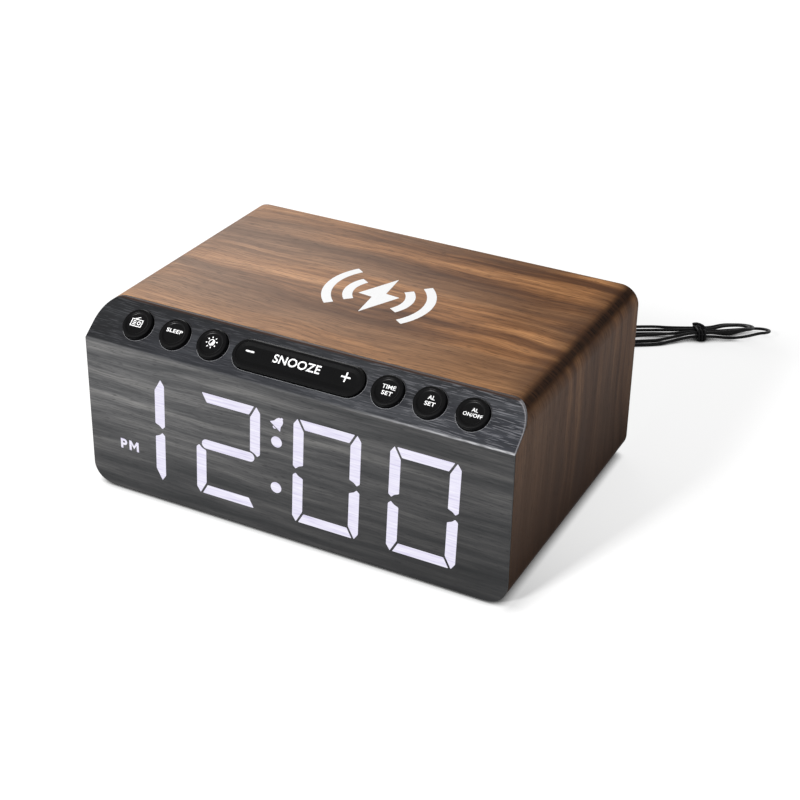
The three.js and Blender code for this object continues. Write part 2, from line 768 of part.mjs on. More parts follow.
function grilleSlots() {
  const reach = speakerRadius - speakerRim;
  const slots = [];
  const count = Math.floor((reach - slotWidth * half) / slotPitch);
  for (let i = -count; i <= count; i += 1) {
    const z = i * slotPitch;
    const run = Math.sqrt(reach * reach - (Math.abs(z) + slotWidth * half) ** 2) - slotWidth * half;
    const shape = roundedRectangle(speakerX - run, speakerX + run, speakerZ + z - slotWidth * half,
      speakerZ + z + slotWidth * half, slotWidth * slotRoundShare);
    slots.push(throughY(shape, coverInner - overrun, coverOuter + overrun, 2));
  }
  return slots;
}

const bossPlaces = [-1, 1].flatMap((sideX) => [-1, 1].map((sideY) => [
  mainBoardX + sideX * (mainBoardWidth * half - boardBossInset),
  mainBoardMiddleY + sideY * (mainBoardDepth * half - boardBossInset)]));
const boardScrewPlaces = bossPlaces.filter(([, y]) => y < mainBoardMiddleY);
const socketMouth = coverOuter - clearance;
const holderOuter = [doorWidth * half, doorHeight * half];

function makeCover() {
  const plate = throughY(caseOutline(wall + clearance, innerFillet), coverInner, coverOuter);
  const shelfHalf = mainBoardWidth * half + shelfMargin;
  const shelf = block(mainBoardX - shelfHalf, mainBoardX + shelfHalf, mainBoardBack - mainBoardDepth,
    coverOuter - coverThickness * half, shelfZ, shelfTop);
  const bosses = bossPlaces.map(([x, y]) => rodZ(postRadius, x, y, shelfZ + shelfThickness * half,
    shelfTop + bossHeight));
  const bossPilots = boardScrewPlaces.map(([x, y]) => rodZ(pilotRadius, x, y,
    shelfTop - shelfThickness * half, shelfTop + bossHeight + overrun));
  const ringInside = speakerRadius + clearance;
  const ring = cut(
    rodY(ringInside + ringWall, speakerX, speakerZ, coverInner - ringHeight,
      coverOuter - coverThickness * half, roundSides),
    rodY(ringInside, speakerX, speakerZ, coverInner - ringHeight - overrun, coverInner, roundSides));
  const chargeWindow = block(chargeSocketX - chargeSocketWidth * half - clearance,
    chargeSocketX + chargeSocketWidth * half + clearance, coverInner - overrun, coverOuter + overrun,
    socketBase - clearance, socketBase + chargeSocketHeight + clearance);
  const jackHole = rodY(jackBarrelRadius + clearance, jackX, socketBase + jackHeight * half,
    coverInner - overrun, coverOuter + overrun);
  const rebate = block(batteryX - doorWidth * half - clearance, batteryX + doorWidth * half + clearance,
    coverOuter - doorThickness - clearance, coverOuter + overrun,
    batteryZ - doorHeight * half - clearance, batteryZ + doorHeight * half + clearance);
  const [openHalfX, openHalfZ] = [doorWidth * half - doorRebate, doorHeight * half - doorRebate];
  const batteryOpening = block(batteryX - openHalfX, batteryX + openHalfX, coverInner - overrun, coverOuter,
    batteryZ - openHalfZ, batteryZ + openHalfZ);
  const screwHoles = screwPlaces.flatMap(([x, z]) => [
    rodY(screwRadius + clearance, x, z, coverInner - overrun, coverOuter + overrun),
    rodY(screwHeadRadius + clearance, x, z, coverOuter - screwHeadHeight, coverOuter + overrun)]);
  const grommetHole = rodY(grommetRadius + clearance, grommetX, grommetZ, coverInner - overrun,
    coverOuter + overrun);
  const body = cut(join(plate, shelf, ...bosses, ring), ...bossPilots, ...grilleSlots(), chargeWindow,
    jackHole, rebate, batteryOpening, ...screwHoles, grommetHole);
  piece('back_cover', body, blackPlastic);
}

function makeCoverFixings() {
  const side = blockSide * half;
  const back = coverInner - clearance;
  const body = cut(throughY(roundedRectangle(-side, side, -side, side, innerFillet), -blockLength, 0, 2),
    rodY(screwRadius + clearance, 0, 0, -screwLength - clearance, overrun));
  const seat = coverOuter - screwHeadHeight + clearance;
  const screw = [[0, -screwLength], [screwRadius, -screwLength], [screwRadius, 0], [screwHeadRadius, 0],
    [screwHeadRadius, screwHeadHeight * half], [screwHeadRadius * half, screwHeadHeight],
    [0, screwHeadHeight]];
  screwPlaces.forEach(([x, z], i) => {
    piece(`corner_block_${i + 1}`, body, timber, clock, [x, back, z]);
    piece(`cover_screw_${i + 1}`, turnedY(screw, smallSides), steel, clock, [x, seat, z]);
  });
}

function makeMainBoard() {
  const [x, w] = [mainBoardX, mainBoardWidth * half];
  const board = cut(
    block(x - w, x + w, mainBoardBack - mainBoardDepth, mainBoardBack, mainBoardZ, mainBoardTop),
    ...boardScrewPlaces.map(([bx, by]) => rodZ(pilotRadius, bx, by,
      mainBoardZ - overrun, mainBoardTop + overrun)));
  piece('main_board', board, boardGreen);
  const screw = smallScrewProfile(0, -1);
  boardScrewPlaces.forEach(([bx, by], i) => {
    piece(`main_board_screw_${i + 1}`, turnedZ(screw, smallSides), steel, clock,
      [bx, by, mainBoardTop + clearance]);
  });
}

// The charge socket is a thin steel shell round a tongue; the power jack a block with a bored barrel
function makeSockets() {
  const [w, h, t] = [chargeSocketWidth * half, chargeSocketHeight, chargeSocketWall];
  const inner = block(t - w, w - t, t - chargeSocketDepth, overrun, t, h - t);
  const tongue = block(-tongueWidth * half, tongueWidth * half, t * half - chargeSocketDepth,
    t - chargeSocketDepth + tongueLength, h * half, h * half + tongueThickness);
  const shell = join(cut(block(-w, w, -chargeSocketDepth, 0, 0, h), inner), tongue);
  piece('charge_socket', shell, steel, clock, [chargeSocketX, socketMouth, socketBase]);

  const middle = jackHeight * half;
  const bodyBack = coverInner - clearance - socketMouth;
  const body = join(
    block(-jackWidth * half, jackWidth * half, bodyBack - jackDepth, bodyBack, 0, jackHeight),
    rodY(jackBarrelRadius, 0, middle, bodyBack - jackDepth * half, 0));
  const bored = cut(body, rodY(jackBoreRadius, 0, middle, -jackBoreDepth, overrun));
  const pin = rodY(jackPinRadius, 0, middle, -jackBoreDepth - jackPinRadius, -clearance, pinSides);
  piece('power_jack', join(bored, pin), blackPlastic, clock, [jackX, socketMouth, socketBase]);
}

// Speaker: flange and basket, cone, magnet, each turned about the grille's axis, front towards +Y
function makeSpeaker() {
  const inner = speakerRadius - speakerRim;
  const neck = magnetRadius;
  const front = coverInner - clearance;
  const frame = [[neck - speakerRim, -speakerFlange - basketDepth], [neck, -speakerFlange - basketDepth],
    [inner + basketWall, -speakerFlange], [speakerRadius, -speakerFlange], [speakerRadius, 0], [inner, 0],
    [inner, -speakerFlange], [neck - basketWall, basketWall - speakerFlange - basketDepth],
    [neck - speakerRim, basketWall - speakerFlange - basketDepth],
    [neck - speakerRim, -speakerFlange - basketDepth]];
  piece('speaker_frame', turnedY(frame, roundSides), steel, clock, [speakerX, front, speakerZ]);
  const rim = inner - clearance;
  const deep = -coneDepth;
  const cone = [[0, deep + coneThickness], [voiceCoilRadius, deep], [voiceCoilRadius + coneThickness, deep],
    [rim - coneThickness, -speakerFlange * half - coneThickness], [rim, -speakerFlange * half],
    [rim - coneThickness, -speakerFlange * half + coneThickness * half],
    [voiceCoilRadius, deep + 2 * coneThickness], [0, deep + 4 * coneThickness]];
  piece('speaker_cone', turnedY(cone, roundSides), paper, clock, [speakerX, front, speakerZ]);
  const top = -speakerFlange - basketDepth - clearance;
  const magnet = [[0, top - magnetLength], [magnetRadius - basketWall, top - magnetLength],
    [magnetRadius, top - magnetLength + basketWall], [magnetRadius, top],
    [neck - speakerRim - clearance, top],
    [neck - speakerRim - clearance, deep - 2 * coneThickness], [0, deep - 2 * coneThickness]];
  piece('speaker_magnet', turnedY(magnet, roundSides), ferrite, clock, [speakerX, front, speakerZ]);
}

// Charging coil and ferrite sheet, glued up into the pocket under the top
function makeCharger() {
  const top = height - coilRoof - clearance;
  const coil = [[coilHole, top - coilThickness], [coilRadius, top - coilThickness], [coilRadius, top],
    [coilHole, top], [coilHole, top - coilThickness]];
  piece('charging_coil', turnedZ(coil, roundSides), copper, clock, [0, coilY, 0]);
  const sheetTop = top - coilThickness - clearance;
  piece('ferrite_sheet',
    rodZ(coilRadius + ferriteLip, 0, 0, sheetTop - ferriteThickness, sheetTop, roundSides),
    ferrite, clock, [0, coilY, 0]);
}

// Battery compartment: a cup behind the cover, the coin cell in it, and a door flush with the cover
function makeBattery() {
  const [w, h] = holderOuter;
  const back = coverInner - clearance;
  const cellRoom = cellThickness + clearance;
  const cup = cut(block(-w, w, -cellRoom - holderWall, 0, -h, h),
    rodY(cellRadius + clearance, 0, 0, -cellRoom, overrun, roundSides));
  piece('battery_holder', cup, blackPlastic, clock, [batteryX, back, batteryZ]);
  const cell = [[0, 0], [cellRadius - clearance, 0], [cellRadius, clearance], [cellRadius, cellThickness],
    [0, cellThickness]];
  piece('coin_cell', turnedY(cell, roundSides), steel, clock,
    [batteryX, back - cellRoom + clearance, batteryZ]);
  const door = cut(
    throughY(roundedRectangle(-w, w, -h, h, doorFillet), -doorThickness, 0),
    block(-doorGripWidth * half, doorGripWidth * half, -doorGrip, overrun,
      h - 2 * doorGripHeight, h - doorGripHeight));
  piece('battery_door', door, blackPlastic, clock, [batteryX, coverOuter, batteryZ]);
}

// Aerial: grommet in the cover, the loose lead, the hank and its tie

const wireRadius = wireDiameter * half;
const grommetEnd = coverOuter + clearance + grommetFlange + grommetNose;

function makeGrommet() {
  const seat = coverOuter + clearance;
  const inside = coverInner;
  const profile = [[0, inside], [grommetRadius, inside], [grommetRadius, seat], [grommetFlangeRadius, seat],
    [grommetFlangeRadius, seat + grommetFlange], [grommetRadius, seat + grommetFlange],
    [grommetNoseRadius, grommetEnd], [0, grommetEnd]];
  piece('antenna_grommet', turnedY(profile, keySides), blackRubber, clock, [grommetX, 0, grommetZ]);
}

// The hank lies on the table behind the case: long loops in two layers, drawn in under a tie.
// Places in it are given along the hank and across it.

const hankNearY = backY + hankNearDistance;
const hankFarY = backY + hankFarDistance;
const hankLength = Math.hypot(hankFarX - hankNearX, hankFarY - hankNearY);
const hankAngle = Math.atan2(hankFarY - hankNearY, hankFarX - hankNearX);
const hankTieAt = hankLength - hankTieFromFar;
const hankOuter = hankFoldRadius + hankPitch * hankLoops * half;
const hankNearFold = hankOuter + wireRadius;
const hankFarFold = hankLength - hankOuter - wireRadius;
const hankLow = wireRadius + clearance * half;
const hankLift = hankTieWall + hankTieGap;
const smooth = (t) => THREE.MathUtils.smoothstep(t, 0, 1);
const onHank = (along, across, z) => [
  hankNearX + along * Math.cos(hankAngle) - across * Math.sin(hankAngle),
  hankNearY + along * Math.sin(hankAngle) + across * Math.cos(hankAngle), z];

// The wire goes out on one side and back on the other. It spirals in on the lower layer, climbs along
// the innermost run and spirals out again on the upper layer.
const innermost = hankLoops - 1;
const sideOf = (run) => (run % 2 === 0 ? -1 : 1);
const pitchesOut = (run) => Math.abs(run - innermost) * half;

// The upper layer's loops end a little before the lower layer's
const farFoldOf = (run) => hankFarFold - (run < innermost ? 0 : hankUpperSetback);

// 1 where the loops lie open, 0 where the tie draws them in
const openness = (along, farFold) => (along > hankTieAt
  ? smooth((along - farFold + hankFarFlare) / hankFarFlare)
  : smooth((hankTieAt - along) / (hankTieAt - hankNearFold)));

// Either side of the tie the wire keeps its lift for one flare's length, then comes down in another
const tieRise = (along) => hankLift
  * smooth((hankFarFlare + hankFarFlare - Math.abs(along - hankTieAt)) / hankFarFlare);

const runStations = (farFold) => [
  hankNearFold, ...[1 / 3, 2 / 3].map((share) => hankNearFold + (hankTieAt - hankNearFold) * share),
  hankTieAt - hankTieLength, hankTieAt + hankTieLength, farFold - hankFarFlare,
  farFold - hankFarFlare * half, farFold];

function runPoints(run) {
  const open = sideOf(run) * (hankFoldRadius + hankPitch * pitchesOut(run));
  const drawnIn = hankPitch * (sideOf(run) < 0 ? -pitchesOut(run) - half : pitchesOut(run));
  const farFold = farFoldOf(run);
  const points = runStations(farFold).map((along) => {
    const climbed = smooth((along - hankNearFold) / (farFold - hankNearFold));
    const level = run === innermost ? climbed : Math.max(Math.sign(run - innermost), 0);
    return onHank(along, drawnIn + (open - drawnIn) * openness(along, farFold),
      hankLow + hankPitch * level + tieRise(along));
  });
  return sideOf(run) < 0 ? points : points.reverse();
}

// The half turn after a run; the wire moves half a pitch in or out in it
function foldPoints(run) {
  const [centre, turn] = sideOf(run) < 0 ? [farFoldOf(run), -half] : [hankNearFold, half];
  const level = run < innermost ? 0 : 1;
  return Array.from({ length: foldSteps - 1 }, (_, i) => {
    const share = (i + 1) / foldSteps;
    const angle = (share + turn) * Math.PI;
    const radius = hankFoldRadius
      + hankPitch * (pitchesOut(run) * (1 - share) + pitchesOut(run + 1) * share);
    return onHank(centre + radius * Math.cos(angle), radius * Math.sin(angle),
      hankLow + hankPitch * level);
  });
}

const runCount = 2 * hankLoops;
const hankRoute = Array.from({ length: runCount }, (_, run) => [
  ...runPoints(run), ...(run + 1 < runCount ? foldPoints(run) : [])]).flat();

// The loose lead falls from the grommet to the table and swings round into the hank's first loop.
// Its places are shares of the way from the grommet to the hank, of the same way sideways, and of
// the height.
const leadShares = [[0.08, -0.06, 0.92], [0.14, -0.1, 0.68], [0.2, -0.14, 0.28], [0.3, -0.17, 0.05],
  [0.42, -0.13, 0], [0.6, 0.05, 0], [0.74, 0.27, 0], [0.88, 0.4, 0], [1, 0.36, 0], [1.03, 0.22, 0]];

function leadCurve() {
  const start = new THREE.Vector3(grommetX, grommetEnd + clearance, grommetZ);
  const straight = start.clone().setY(start.y + wireDiameter);
  const end = new THREE.Vector3(...hankRoute[0]);
  const heading = new THREE.Vector3(Math.cos(hankAngle), Math.sin(hankAngle), 0);
  end.addScaledVector(heading, -clearance);
  const way = new THREE.Vector3(end.x - start.x, end.y - start.y, 0);
  const sideways = new THREE.Vector3(-way.y, way.x, 0);
  const between = leadShares.map(([along, across, up]) => new THREE.Vector3(start.x, start.y, 0)
    .addScaledVector(way, along).addScaledVector(sideways, across)
    .setZ(hankLow + (grommetZ - hankLow) * up));
  const last = end.clone().addScaledVector(heading, -hankOuter);
  return new THREE.CatmullRomCurve3([start, straight, ...between, last, end], false, 'centripetal');
}

// The least space between two stretches of a line that aren't neighbours along it
function leastGap(route, diameter) {
  const points = [];
  route.slice(1).forEach((to, i) => {
    const [a, b] = [new THREE.Vector3(...route[i]), new THREE.Vector3(...to)];
    const parts = Math.ceil(a.distanceTo(b) / diameter * 2);
    for (let k = 0; k < parts; k += 1) {
      points.push(a.clone().lerp(b, k / parts));
    }
  });
  let least = Infinity;
  for (let i = 0; i < points.length; i += 1) {
    let along = 0;
    for (let j = i + 1; j < points.length; j += 1) {
      along += points[j].distanceTo(points[j - 1]);
      if (along > 4 * diameter) {
        least = Math.min(least, points[i].distanceTo(points[j]));
      }
    }
  }
  return least - diameter;
}

const lengthOf = (route) => route.slice(1).reduce((sum, to, i) => sum
  + Math.hypot(to[0] - route[i][0], to[1] - route[i][1], to[2] - route[i][2]), 0);

function makeAerial() {
  const path = leadCurve();
  console.log(`antenna_hank: least gap to itself ${leastGap(hankRoute, wireDiameter).toFixed(2)} mm`);
  console.log(`lengths: lead ${path.getLength().toFixed(1)} mm, hank ${lengthOf(hankRoute).toFixed(1)} mm`);
  const section = polygon(Array.from({ length: wireSides }, (_, i) => {
    const angle = (i / wireSides) * 2 * Math.PI;
    return [wireRadius * Math.cos(angle), wireRadius * Math.sin(angle)];
  }));
  const lead = new THREE.ExtrudeGeometry(section, {
    steps: leadSteps, extrudePath: path, bevelEnabled: false,
  });
  piece('antenna_lead', lead, blackRubber);
  piece('antenna_hank', tube(hankRoute, wireRadius, hankSides), blackRubber);
  const halfWidth = hankPitch * hankLoops * half + wireRadius + hankTieGap;
  const low = clearance * half + hankTieWall;
  const high = hankLow + hankLift + hankPitch + wireRadius + hankTieGap;
  const band = roundedRectangle(-halfWidth - hankTieWall, halfWidth + hankTieWall, low - hankTieWall,
    high + hankTieWall, wireRadius + hankTieWall);
  band.holes.push(roundedRectangle(-halfWidth, halfWidth, low, high, wireRadius));
  const tie = throughY(band, -hankTieLength * half, hankTieLength * half).rotateZ(hankAngle - quarterTurn);
  piece('hank_tie', tie, blackRubber, clock, onHank(hankTieAt, 0, 0));
}

makeSleeve();
makeFeet();
makePanel();
makeKeys();
makeBar();
makeKeyBoard();
makeDisplay();
makeCover();
makeCoverFixings();
makeMainBoard();
makeSockets();
makeSpeaker();
makeCharger();
makeBattery();
makeGrommet();
makeAerial();

export default clock;
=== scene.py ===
"""A bedside clock radio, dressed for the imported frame.

Lengths are written in millimetres and turned into metres by MM. X runs along the row of keys,
Y to the back and Z up, as in the frame.
"""
import math

import bmesh
import bpy
from mathutils import Matrix, Vector


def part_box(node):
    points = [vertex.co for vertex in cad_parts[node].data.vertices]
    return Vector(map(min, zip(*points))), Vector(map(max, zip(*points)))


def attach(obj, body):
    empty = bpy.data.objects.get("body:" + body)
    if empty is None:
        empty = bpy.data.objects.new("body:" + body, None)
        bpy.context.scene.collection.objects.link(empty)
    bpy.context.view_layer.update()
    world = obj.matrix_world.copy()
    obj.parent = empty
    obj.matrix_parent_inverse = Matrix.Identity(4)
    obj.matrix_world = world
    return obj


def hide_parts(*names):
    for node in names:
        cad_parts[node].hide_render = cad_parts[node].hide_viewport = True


MM = 0.001

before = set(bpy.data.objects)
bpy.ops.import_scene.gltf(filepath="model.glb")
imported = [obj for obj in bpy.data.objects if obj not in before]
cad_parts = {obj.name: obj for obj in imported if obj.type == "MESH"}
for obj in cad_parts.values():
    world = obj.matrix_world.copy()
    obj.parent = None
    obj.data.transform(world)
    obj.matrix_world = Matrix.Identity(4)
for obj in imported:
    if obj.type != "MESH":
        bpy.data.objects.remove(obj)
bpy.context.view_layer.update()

# Sizes of the case, as the frame has them
panel_low, panel_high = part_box("front_panel")
sleeve_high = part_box("housing_sleeve")[1]
WIDTH = panel_high.x - panel_low.x
FRONT = panel_low.y
BACK = sleeve_high.y
TOP = sleeve_high.z
CORNER = 8 * MM
CREASE = 64.5 * MM
SLOPE_RUN = 15.8 * MM
SLOPE_RISE = TOP - CREASE
SLOPE_ANGLE = math.atan2(SLOPE_RISE, SLOPE_RUN)
SLOPE_LENGTH = math.hypot(SLOPE_RISE, SLOPE_RUN)

# Flat frames that prints and keys are drawn in: X to the right, Y up the face, Z straight out of it
SLOPE = Matrix.Translation((0, FRONT, CREASE)) @ Matrix.Rotation(SLOPE_ANGLE, 4, "X")
FACE = Matrix.Translation((0, FRONT, 0)) @ Matrix.Rotation(math.pi / 2, 4, "X")
LID = Matrix.Translation((0, 0, TOP))
REAR = Matrix.Rotation(-math.pi / 2, 4, "X")

INK = 0.03 * MM
SINK = 0.02 * MM

# Edges: merging distance, and the angles that part flat, smooth and sharp
SAME_POINT = 0.5e-6
NEXT_TO_NOTHING = 1e-7
FLAT_WITHIN = math.radians(0.4)
SMOOTH_WITHIN = math.radians(31)
SHARP_OVER = math.radians(32)
BEVEL_OVER = math.radians(38)

# Keys
KEY_ROW = SLOPE_LENGTH / 2
KEY_RADIUS = 6.1 * MM
KEY_PROUD = 2 * MM
KEY_DISH = 0.45 * MM
LIP_BOTTOM = -3.9 * MM
TIP_END = -5.4 * MM
TIP_RADIUS = 1.2 * MM
KEY_PITCH = 16.75 * MM
KEY_OUTER = WIDTH / 2 - 19.6 * MM
BAR_HALF = 21.4 * MM
HOLE_RADIUS = KEY_RADIUS + 0.3 * MM
KEY_PLACES = {
    "radio": -KEY_OUTER, "sleep": KEY_PITCH - KEY_OUTER, "dimmer": 2 * KEY_PITCH - KEY_OUTER,
    "time_set": KEY_OUTER - 2 * KEY_PITCH, "alarm_set": KEY_OUTER - KEY_PITCH, "alarm_on_off": KEY_OUTER}

# Display
MASK_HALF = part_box("display_mask")[1].x
DIGIT_MARGIN = 9.9 * MM
DIGIT_HEIGHT = CREASE - 2 * DIGIT_MARGIN
DIGIT_GAP = 11.75 * MM
COLON_GAP = 14.3 * MM
FIRST_GAP = 14.45 * MM
DISPLAY_MARGIN = 8.9 * MM
SEGMENT_WIDTH = 4.3 * MM
MARK_ROOM = 19.3 * MM
DIGIT_WIDTH = (2 * MASK_HALF - DISPLAY_MARGIN - DIGIT_GAP - COLON_GAP - FIRST_GAP
               - SEGMENT_WIDTH - MARK_ROOM) / 3
BAR_THICKNESS = 4 * MM
SEGMENT_GAP = 0.9 * MM
SEGMENT_CHAMFER = 2.4 * MM
BAR_INSET = 2.4 * MM
PEAK_INSET = 1.2 * MM
DIGIT_LEAN = math.tan(math.radians(1.7))


def linked(name, data):
    """A new object in the scene that holds the given data."""
    thing = bpy.data.objects.new(name, data)
    bpy.context.collection.objects.link(thing)
    return thing


def add_camera():
    """The camera at the photograph's place, solved from the straight edges of the case."""
    azimuth, elevation, roll = (math.radians(a) for a in (25.29, 26.1, 1.83))
    focal_px, centre_x_px, centre_y_px, frame_px = 1626.88, 442.86, 306.39, 800
    eye = Vector((269.73, -502.61, 353.23)) * MM
    level_share = math.cos(elevation)
    back = Vector((math.sin(azimuth) * level_share, -math.cos(azimuth) * level_share, math.sin(elevation)))
    level = Vector((math.cos(azimuth), math.sin(azimuth), 0))
    upright = back.cross(level)
    right = level * math.cos(roll) + upright * math.sin(roll)
    up = upright * math.cos(roll) - level * math.sin(roll)
    data = bpy.data.cameras.new("camera")
    data.sensor_width = 36
    data.lens = focal_px / frame_px * data.sensor_width
    data.shift_x = (frame_px / 2 - centre_x_px) / frame_px
    data.shift_y = (centre_y_px - frame_px / 2) / frame_px
    data.clip_end = 20
    camera = linked("camera", data)
    camera.matrix_world = Matrix.Translation(eye) @ Matrix((right, up, back)).transposed().to_4x4()
    bpy.context.scene.camera = camera


# Materials: a small writer for node trees


class Tree:
    """Builds the nodes of a material or a world. Inputs are numbers, colours or nodes' outputs."""

    def __init__(self, name, world=False):
        self.owner = (bpy.data.worlds if world else bpy.data.materials).new(name)
        self.owner.use_nodes = True
        self.nodes = self.owner.node_tree.nodes
        self.links = self.owner.node_tree.links

    def set(self, node, key, value):
        socket = node.inputs[key]
        if isinstance(value, bpy.types.NodeSocket):
            self.links.new(value, socket)
        else:
            socket.default_value = value

    def add(self, kind, out=0, settings=None, **inputs):
        node = self.nodes.new("ShaderNode" + kind)
        for key, value in (settings or {}).items():
            setattr(node, key, value)
        for key, value in inputs.items():
            name = int(key[1:]) if key[0] == "i" and key[1:].isdigit() else key.replace("_", " ")
            self.set(node, name, value)
        return node.outputs[out]

    def math(self, operation, a, b=0.0, c=0.0):
        return self.add("Math", settings={"operation": operation}, i0=a, i1=b, i2=c)

    def times(self, a, b):
        return self.math("MULTIPLY", a, b)

    def apart(self, a, b):
        """How far a number is from another."""
        return self.math("ABSOLUTE", self.math("SUBTRACT", a, b))

    def past(self, a, b):
        """How far a number is past another, or 0 before it."""
        return self.math("MAXIMUM", self.math("SUBTRACT", a, b), 0)

    def place(self):
        return self.add("TexCoord", out="Object")

    def axes(self, kind="Object"):
        """The X, Y and Z of a place."""
        node = self.nodes.new("ShaderNodeSeparateXYZ")
        self.links.new(self.add("TexCoord", out=kind), node.inputs[0])
        return node.outputs[0], node.outputs[1], node.outputs[2]

    def rays(self):
        """Two outputs: 1 where the camera looks straight or through glass, and 1 in a mirrored ray."""
        path = self.nodes.new("ShaderNodeLightPath").outputs
        return (self.math("MAXIMUM", path["Is Camera Ray"], path["Is Transmission Ray"]),
                path["Is Glossy Ray"])

    def noise(self, vector, scale, detail=3.0, roughness=0.55):
        return self.add("TexNoise", Vector=vector, Scale=scale, Detail=detail, Roughness=roughness)

    def streaks(self, along, across, long, wide, seed, detail=3.0, roughness=0.55):
        """Noise drawn out along one direction: streaks about so long and so wide."""
        vector = self.add("CombineXYZ", X=self.times(along, 1 / long),
                          Y=self.times(across, 1 / wide), Z=seed)
        return self.noise(vector, 1, detail, roughness)

    def ramp(self, factor, stops):
        node = self.nodes.new("ShaderNodeValToRGB")
        elements = node.color_ramp.elements
        while len(elements) < len(stops):
            elements.new(0.5)
        for element, (position, colour) in zip(elements, stops):
            element.position = position
            element.color = (*colour, 1)
        self.links.new(factor, node.inputs[0])
        return node.outputs[0]

    def mix(self, factor, a, b, blend="MIX"):
        node = self.nodes.new("ShaderNodeMix")
        node.data_type = "RGBA"
        node.blend_type = blend
        self.set(node, 0, factor)
        for key, value in ((6, a), (7, b)):
            self.set(node, key, value if isinstance(value, bpy.types.NodeSocket) else (*value, 1)[:4])
        return node.outputs[2]

    def coated(self, colour, *coats):
        """A colour under coats of (share, colour), the lowest first."""
        for share, coat in coats:
            colour = self.mix(share, colour, coat)
        return colour

    def shaded(self, colour, *shares):
        """A colour made darker or lighter by the product of two or more shares."""
        shade = shares[0]
        for share in shares[1:]:
            shade = self.times(shade, share)
        grey = self.add("CombineColor", Red=shade, Green=shade, Blue=shade)
        return self.mix(1.0, colour, grey, "MULTIPLY")

    def remap(self, value, low, high, to_low=0.0, to_high=1.0, shape="LINEAR"):
        return self.add("MapRange", settings={"interpolation_type": shape}, Value=value, From_Min=low,
                        From_Max=high, To_Min=to_low, To_Max=to_high)

    def bump(self, height, distance, strength):
        return self.add("Bump", Height=height, Distance=distance, Strength=strength)

    def finish(self, **inputs):
        for key, value in inputs.items():
            if key in ("Base_Color", "Emission_Color") and isinstance(value, tuple):
                value = (*value, 1)[:4]
            self.set(self.nodes["Principled BSDF"], key.replace("_", " "), value)
        return self.owner


def wrapped_place(tree):
    """The walnut foil's own coordinates: how far round the sleeve, how far back, and the height."""
    x, y, z = tree.axes()
    straight = WIDTH / 2 - CORNER
    reach = tree.math("ABSOLUTE", x)
    turn = tree.math("ARCTAN2", tree.past(reach, straight), tree.past(z, TOP - CORNER))
    over_bend = tree.math("MULTIPLY_ADD", turn, CORNER, tree.math("MINIMUM", reach, straight))
    around = tree.math("ADD", over_bend, tree.past(TOP - CORNER, z))
    return tree.times(around, tree.math("SIGN", x)), y, z


def walnut():
    """Walnut-pattern foil: grain runs round the sleeve, with long dark streaks, fine pores and painted
    light and shade.
    """
    tree = Tree("walnut_foil")
    around, back, z = wrapped_place(tree)
    drift = tree.streaks(around, back, 110 * MM, 70 * MM, 0.0, 2)
    bent = tree.math("MULTIPLY_ADD", drift, 20 * MM, back)
    figure = tree.streaks(around, bent, 130 * MM, 8 * MM, 1.3, 4, 0.62)
    bands = tree.streaks(around, bent, 170 * MM, 24 * MM, 5.1, 2, 0.5)
    fibre = tree.streaks(around, bent, 18 * MM, 0.8 * MM, 9.4, 3, 0.6)
    pores = tree.streaks(around, bent, 5 * MM, 0.45 * MM, 3.8, 1, 0.4)
    pore = tree.remap(pores, 0.60, 0.68, 0.0, 0.48)
    colour = tree.ramp(figure, [
        (0.36, (0.110, 0.050, 0.025)), (0.46, (0.228, 0.103, 0.043)), (0.54, (0.364, 0.170, 0.069)),
        (0.64, (0.524, 0.258, 0.108))])
    to_front = tree.remap(back, FRONT + 48 * MM, FRONT + 18 * MM, 0.0, 0.42)
    # Painted sheen: the top is paler and greyer towards the left.
    left_sheen = tree.remap(around, 20 * MM, -60 * MM, 0.0, 0.21)
    # Painted shade round the right bend: darker over it and less so on the side, with a near-black band 4.9
    # mm into it.
    round_right = tree.math("SUBTRACT", around, WIDTH / 2 - CORNER)
    onto_bend = tree.remap(round_right, -8 * MM, 3 * MM, 0.0, 0.66)
    past_bend = tree.remap(round_right, 6 * MM, 10 * MM, 1.0, 0.35)
    bend_shade_at = 4.9 * MM
    off_bend_shade = tree.apart(round_right, bend_shade_at)
    on_side = tree.remap(round_right, 7 * MM, 10 * MM)
    edge = tree.remap(back, FRONT + 1.6 * MM, FRONT + 2.4 * MM, 0.45, 0.0)
    colour = tree.coated(
        colour,
        (tree.remap(bands, 0.46, 0.58, 0.0, 0.60), (0.088, 0.050, 0.033)),
        (to_front, (0.430, 0.225, 0.105)),
        (left_sheen, (0.560, 0.350, 0.215)),
        (tree.times(onto_bend, past_bend), (0.045, 0.023, 0.014)),
        (tree.remap(off_bend_shade, 0.9 * MM, 3.3 * MM, 0.93, 0.0), (0.008, 0.005, 0.004)),
        # Painted reflection: a pale grey-brown haze over the side.
        (tree.times(on_side, 0.34), (0.170, 0.112, 0.088)),
        # Painted shade: darker towards the floor.
        (tree.remap(z, 62 * MM, 8 * MM, 0.0, 0.92), (0.030, 0.013, 0.006)),
        (tree.remap(fibre, 0.38, 0.62, 0.0, 0.44), (0.092, 0.042, 0.022)),
        (pore, (0.040, 0.020, 0.012)),
        (tree.times(edge, past_bend), (0.200, 0.105, 0.055)))
    height = tree.math("SUBTRACT", tree.times(fibre, 0.4), pore)
    top_shine = tree.times(
        tree.remap(around, -70 * MM, 60 * MM, 0.17, 0.02), tree.remap(back, 0, BACK, 1.0, 0.45))
    side_shine = tree.times(on_side, tree.remap(z, 10 * MM, 60 * MM, 0.0, 0.06))
    return tree.finish(
        Base_Color=colour, Roughness=tree.remap(figure, 0.3, 0.7, 0.46, 0.38),
        Normal=tree.bump(height, 0.04 * MM, 0.5),
        Specular_IOR_Level=tree.math("ADD", top_shine, side_shine))


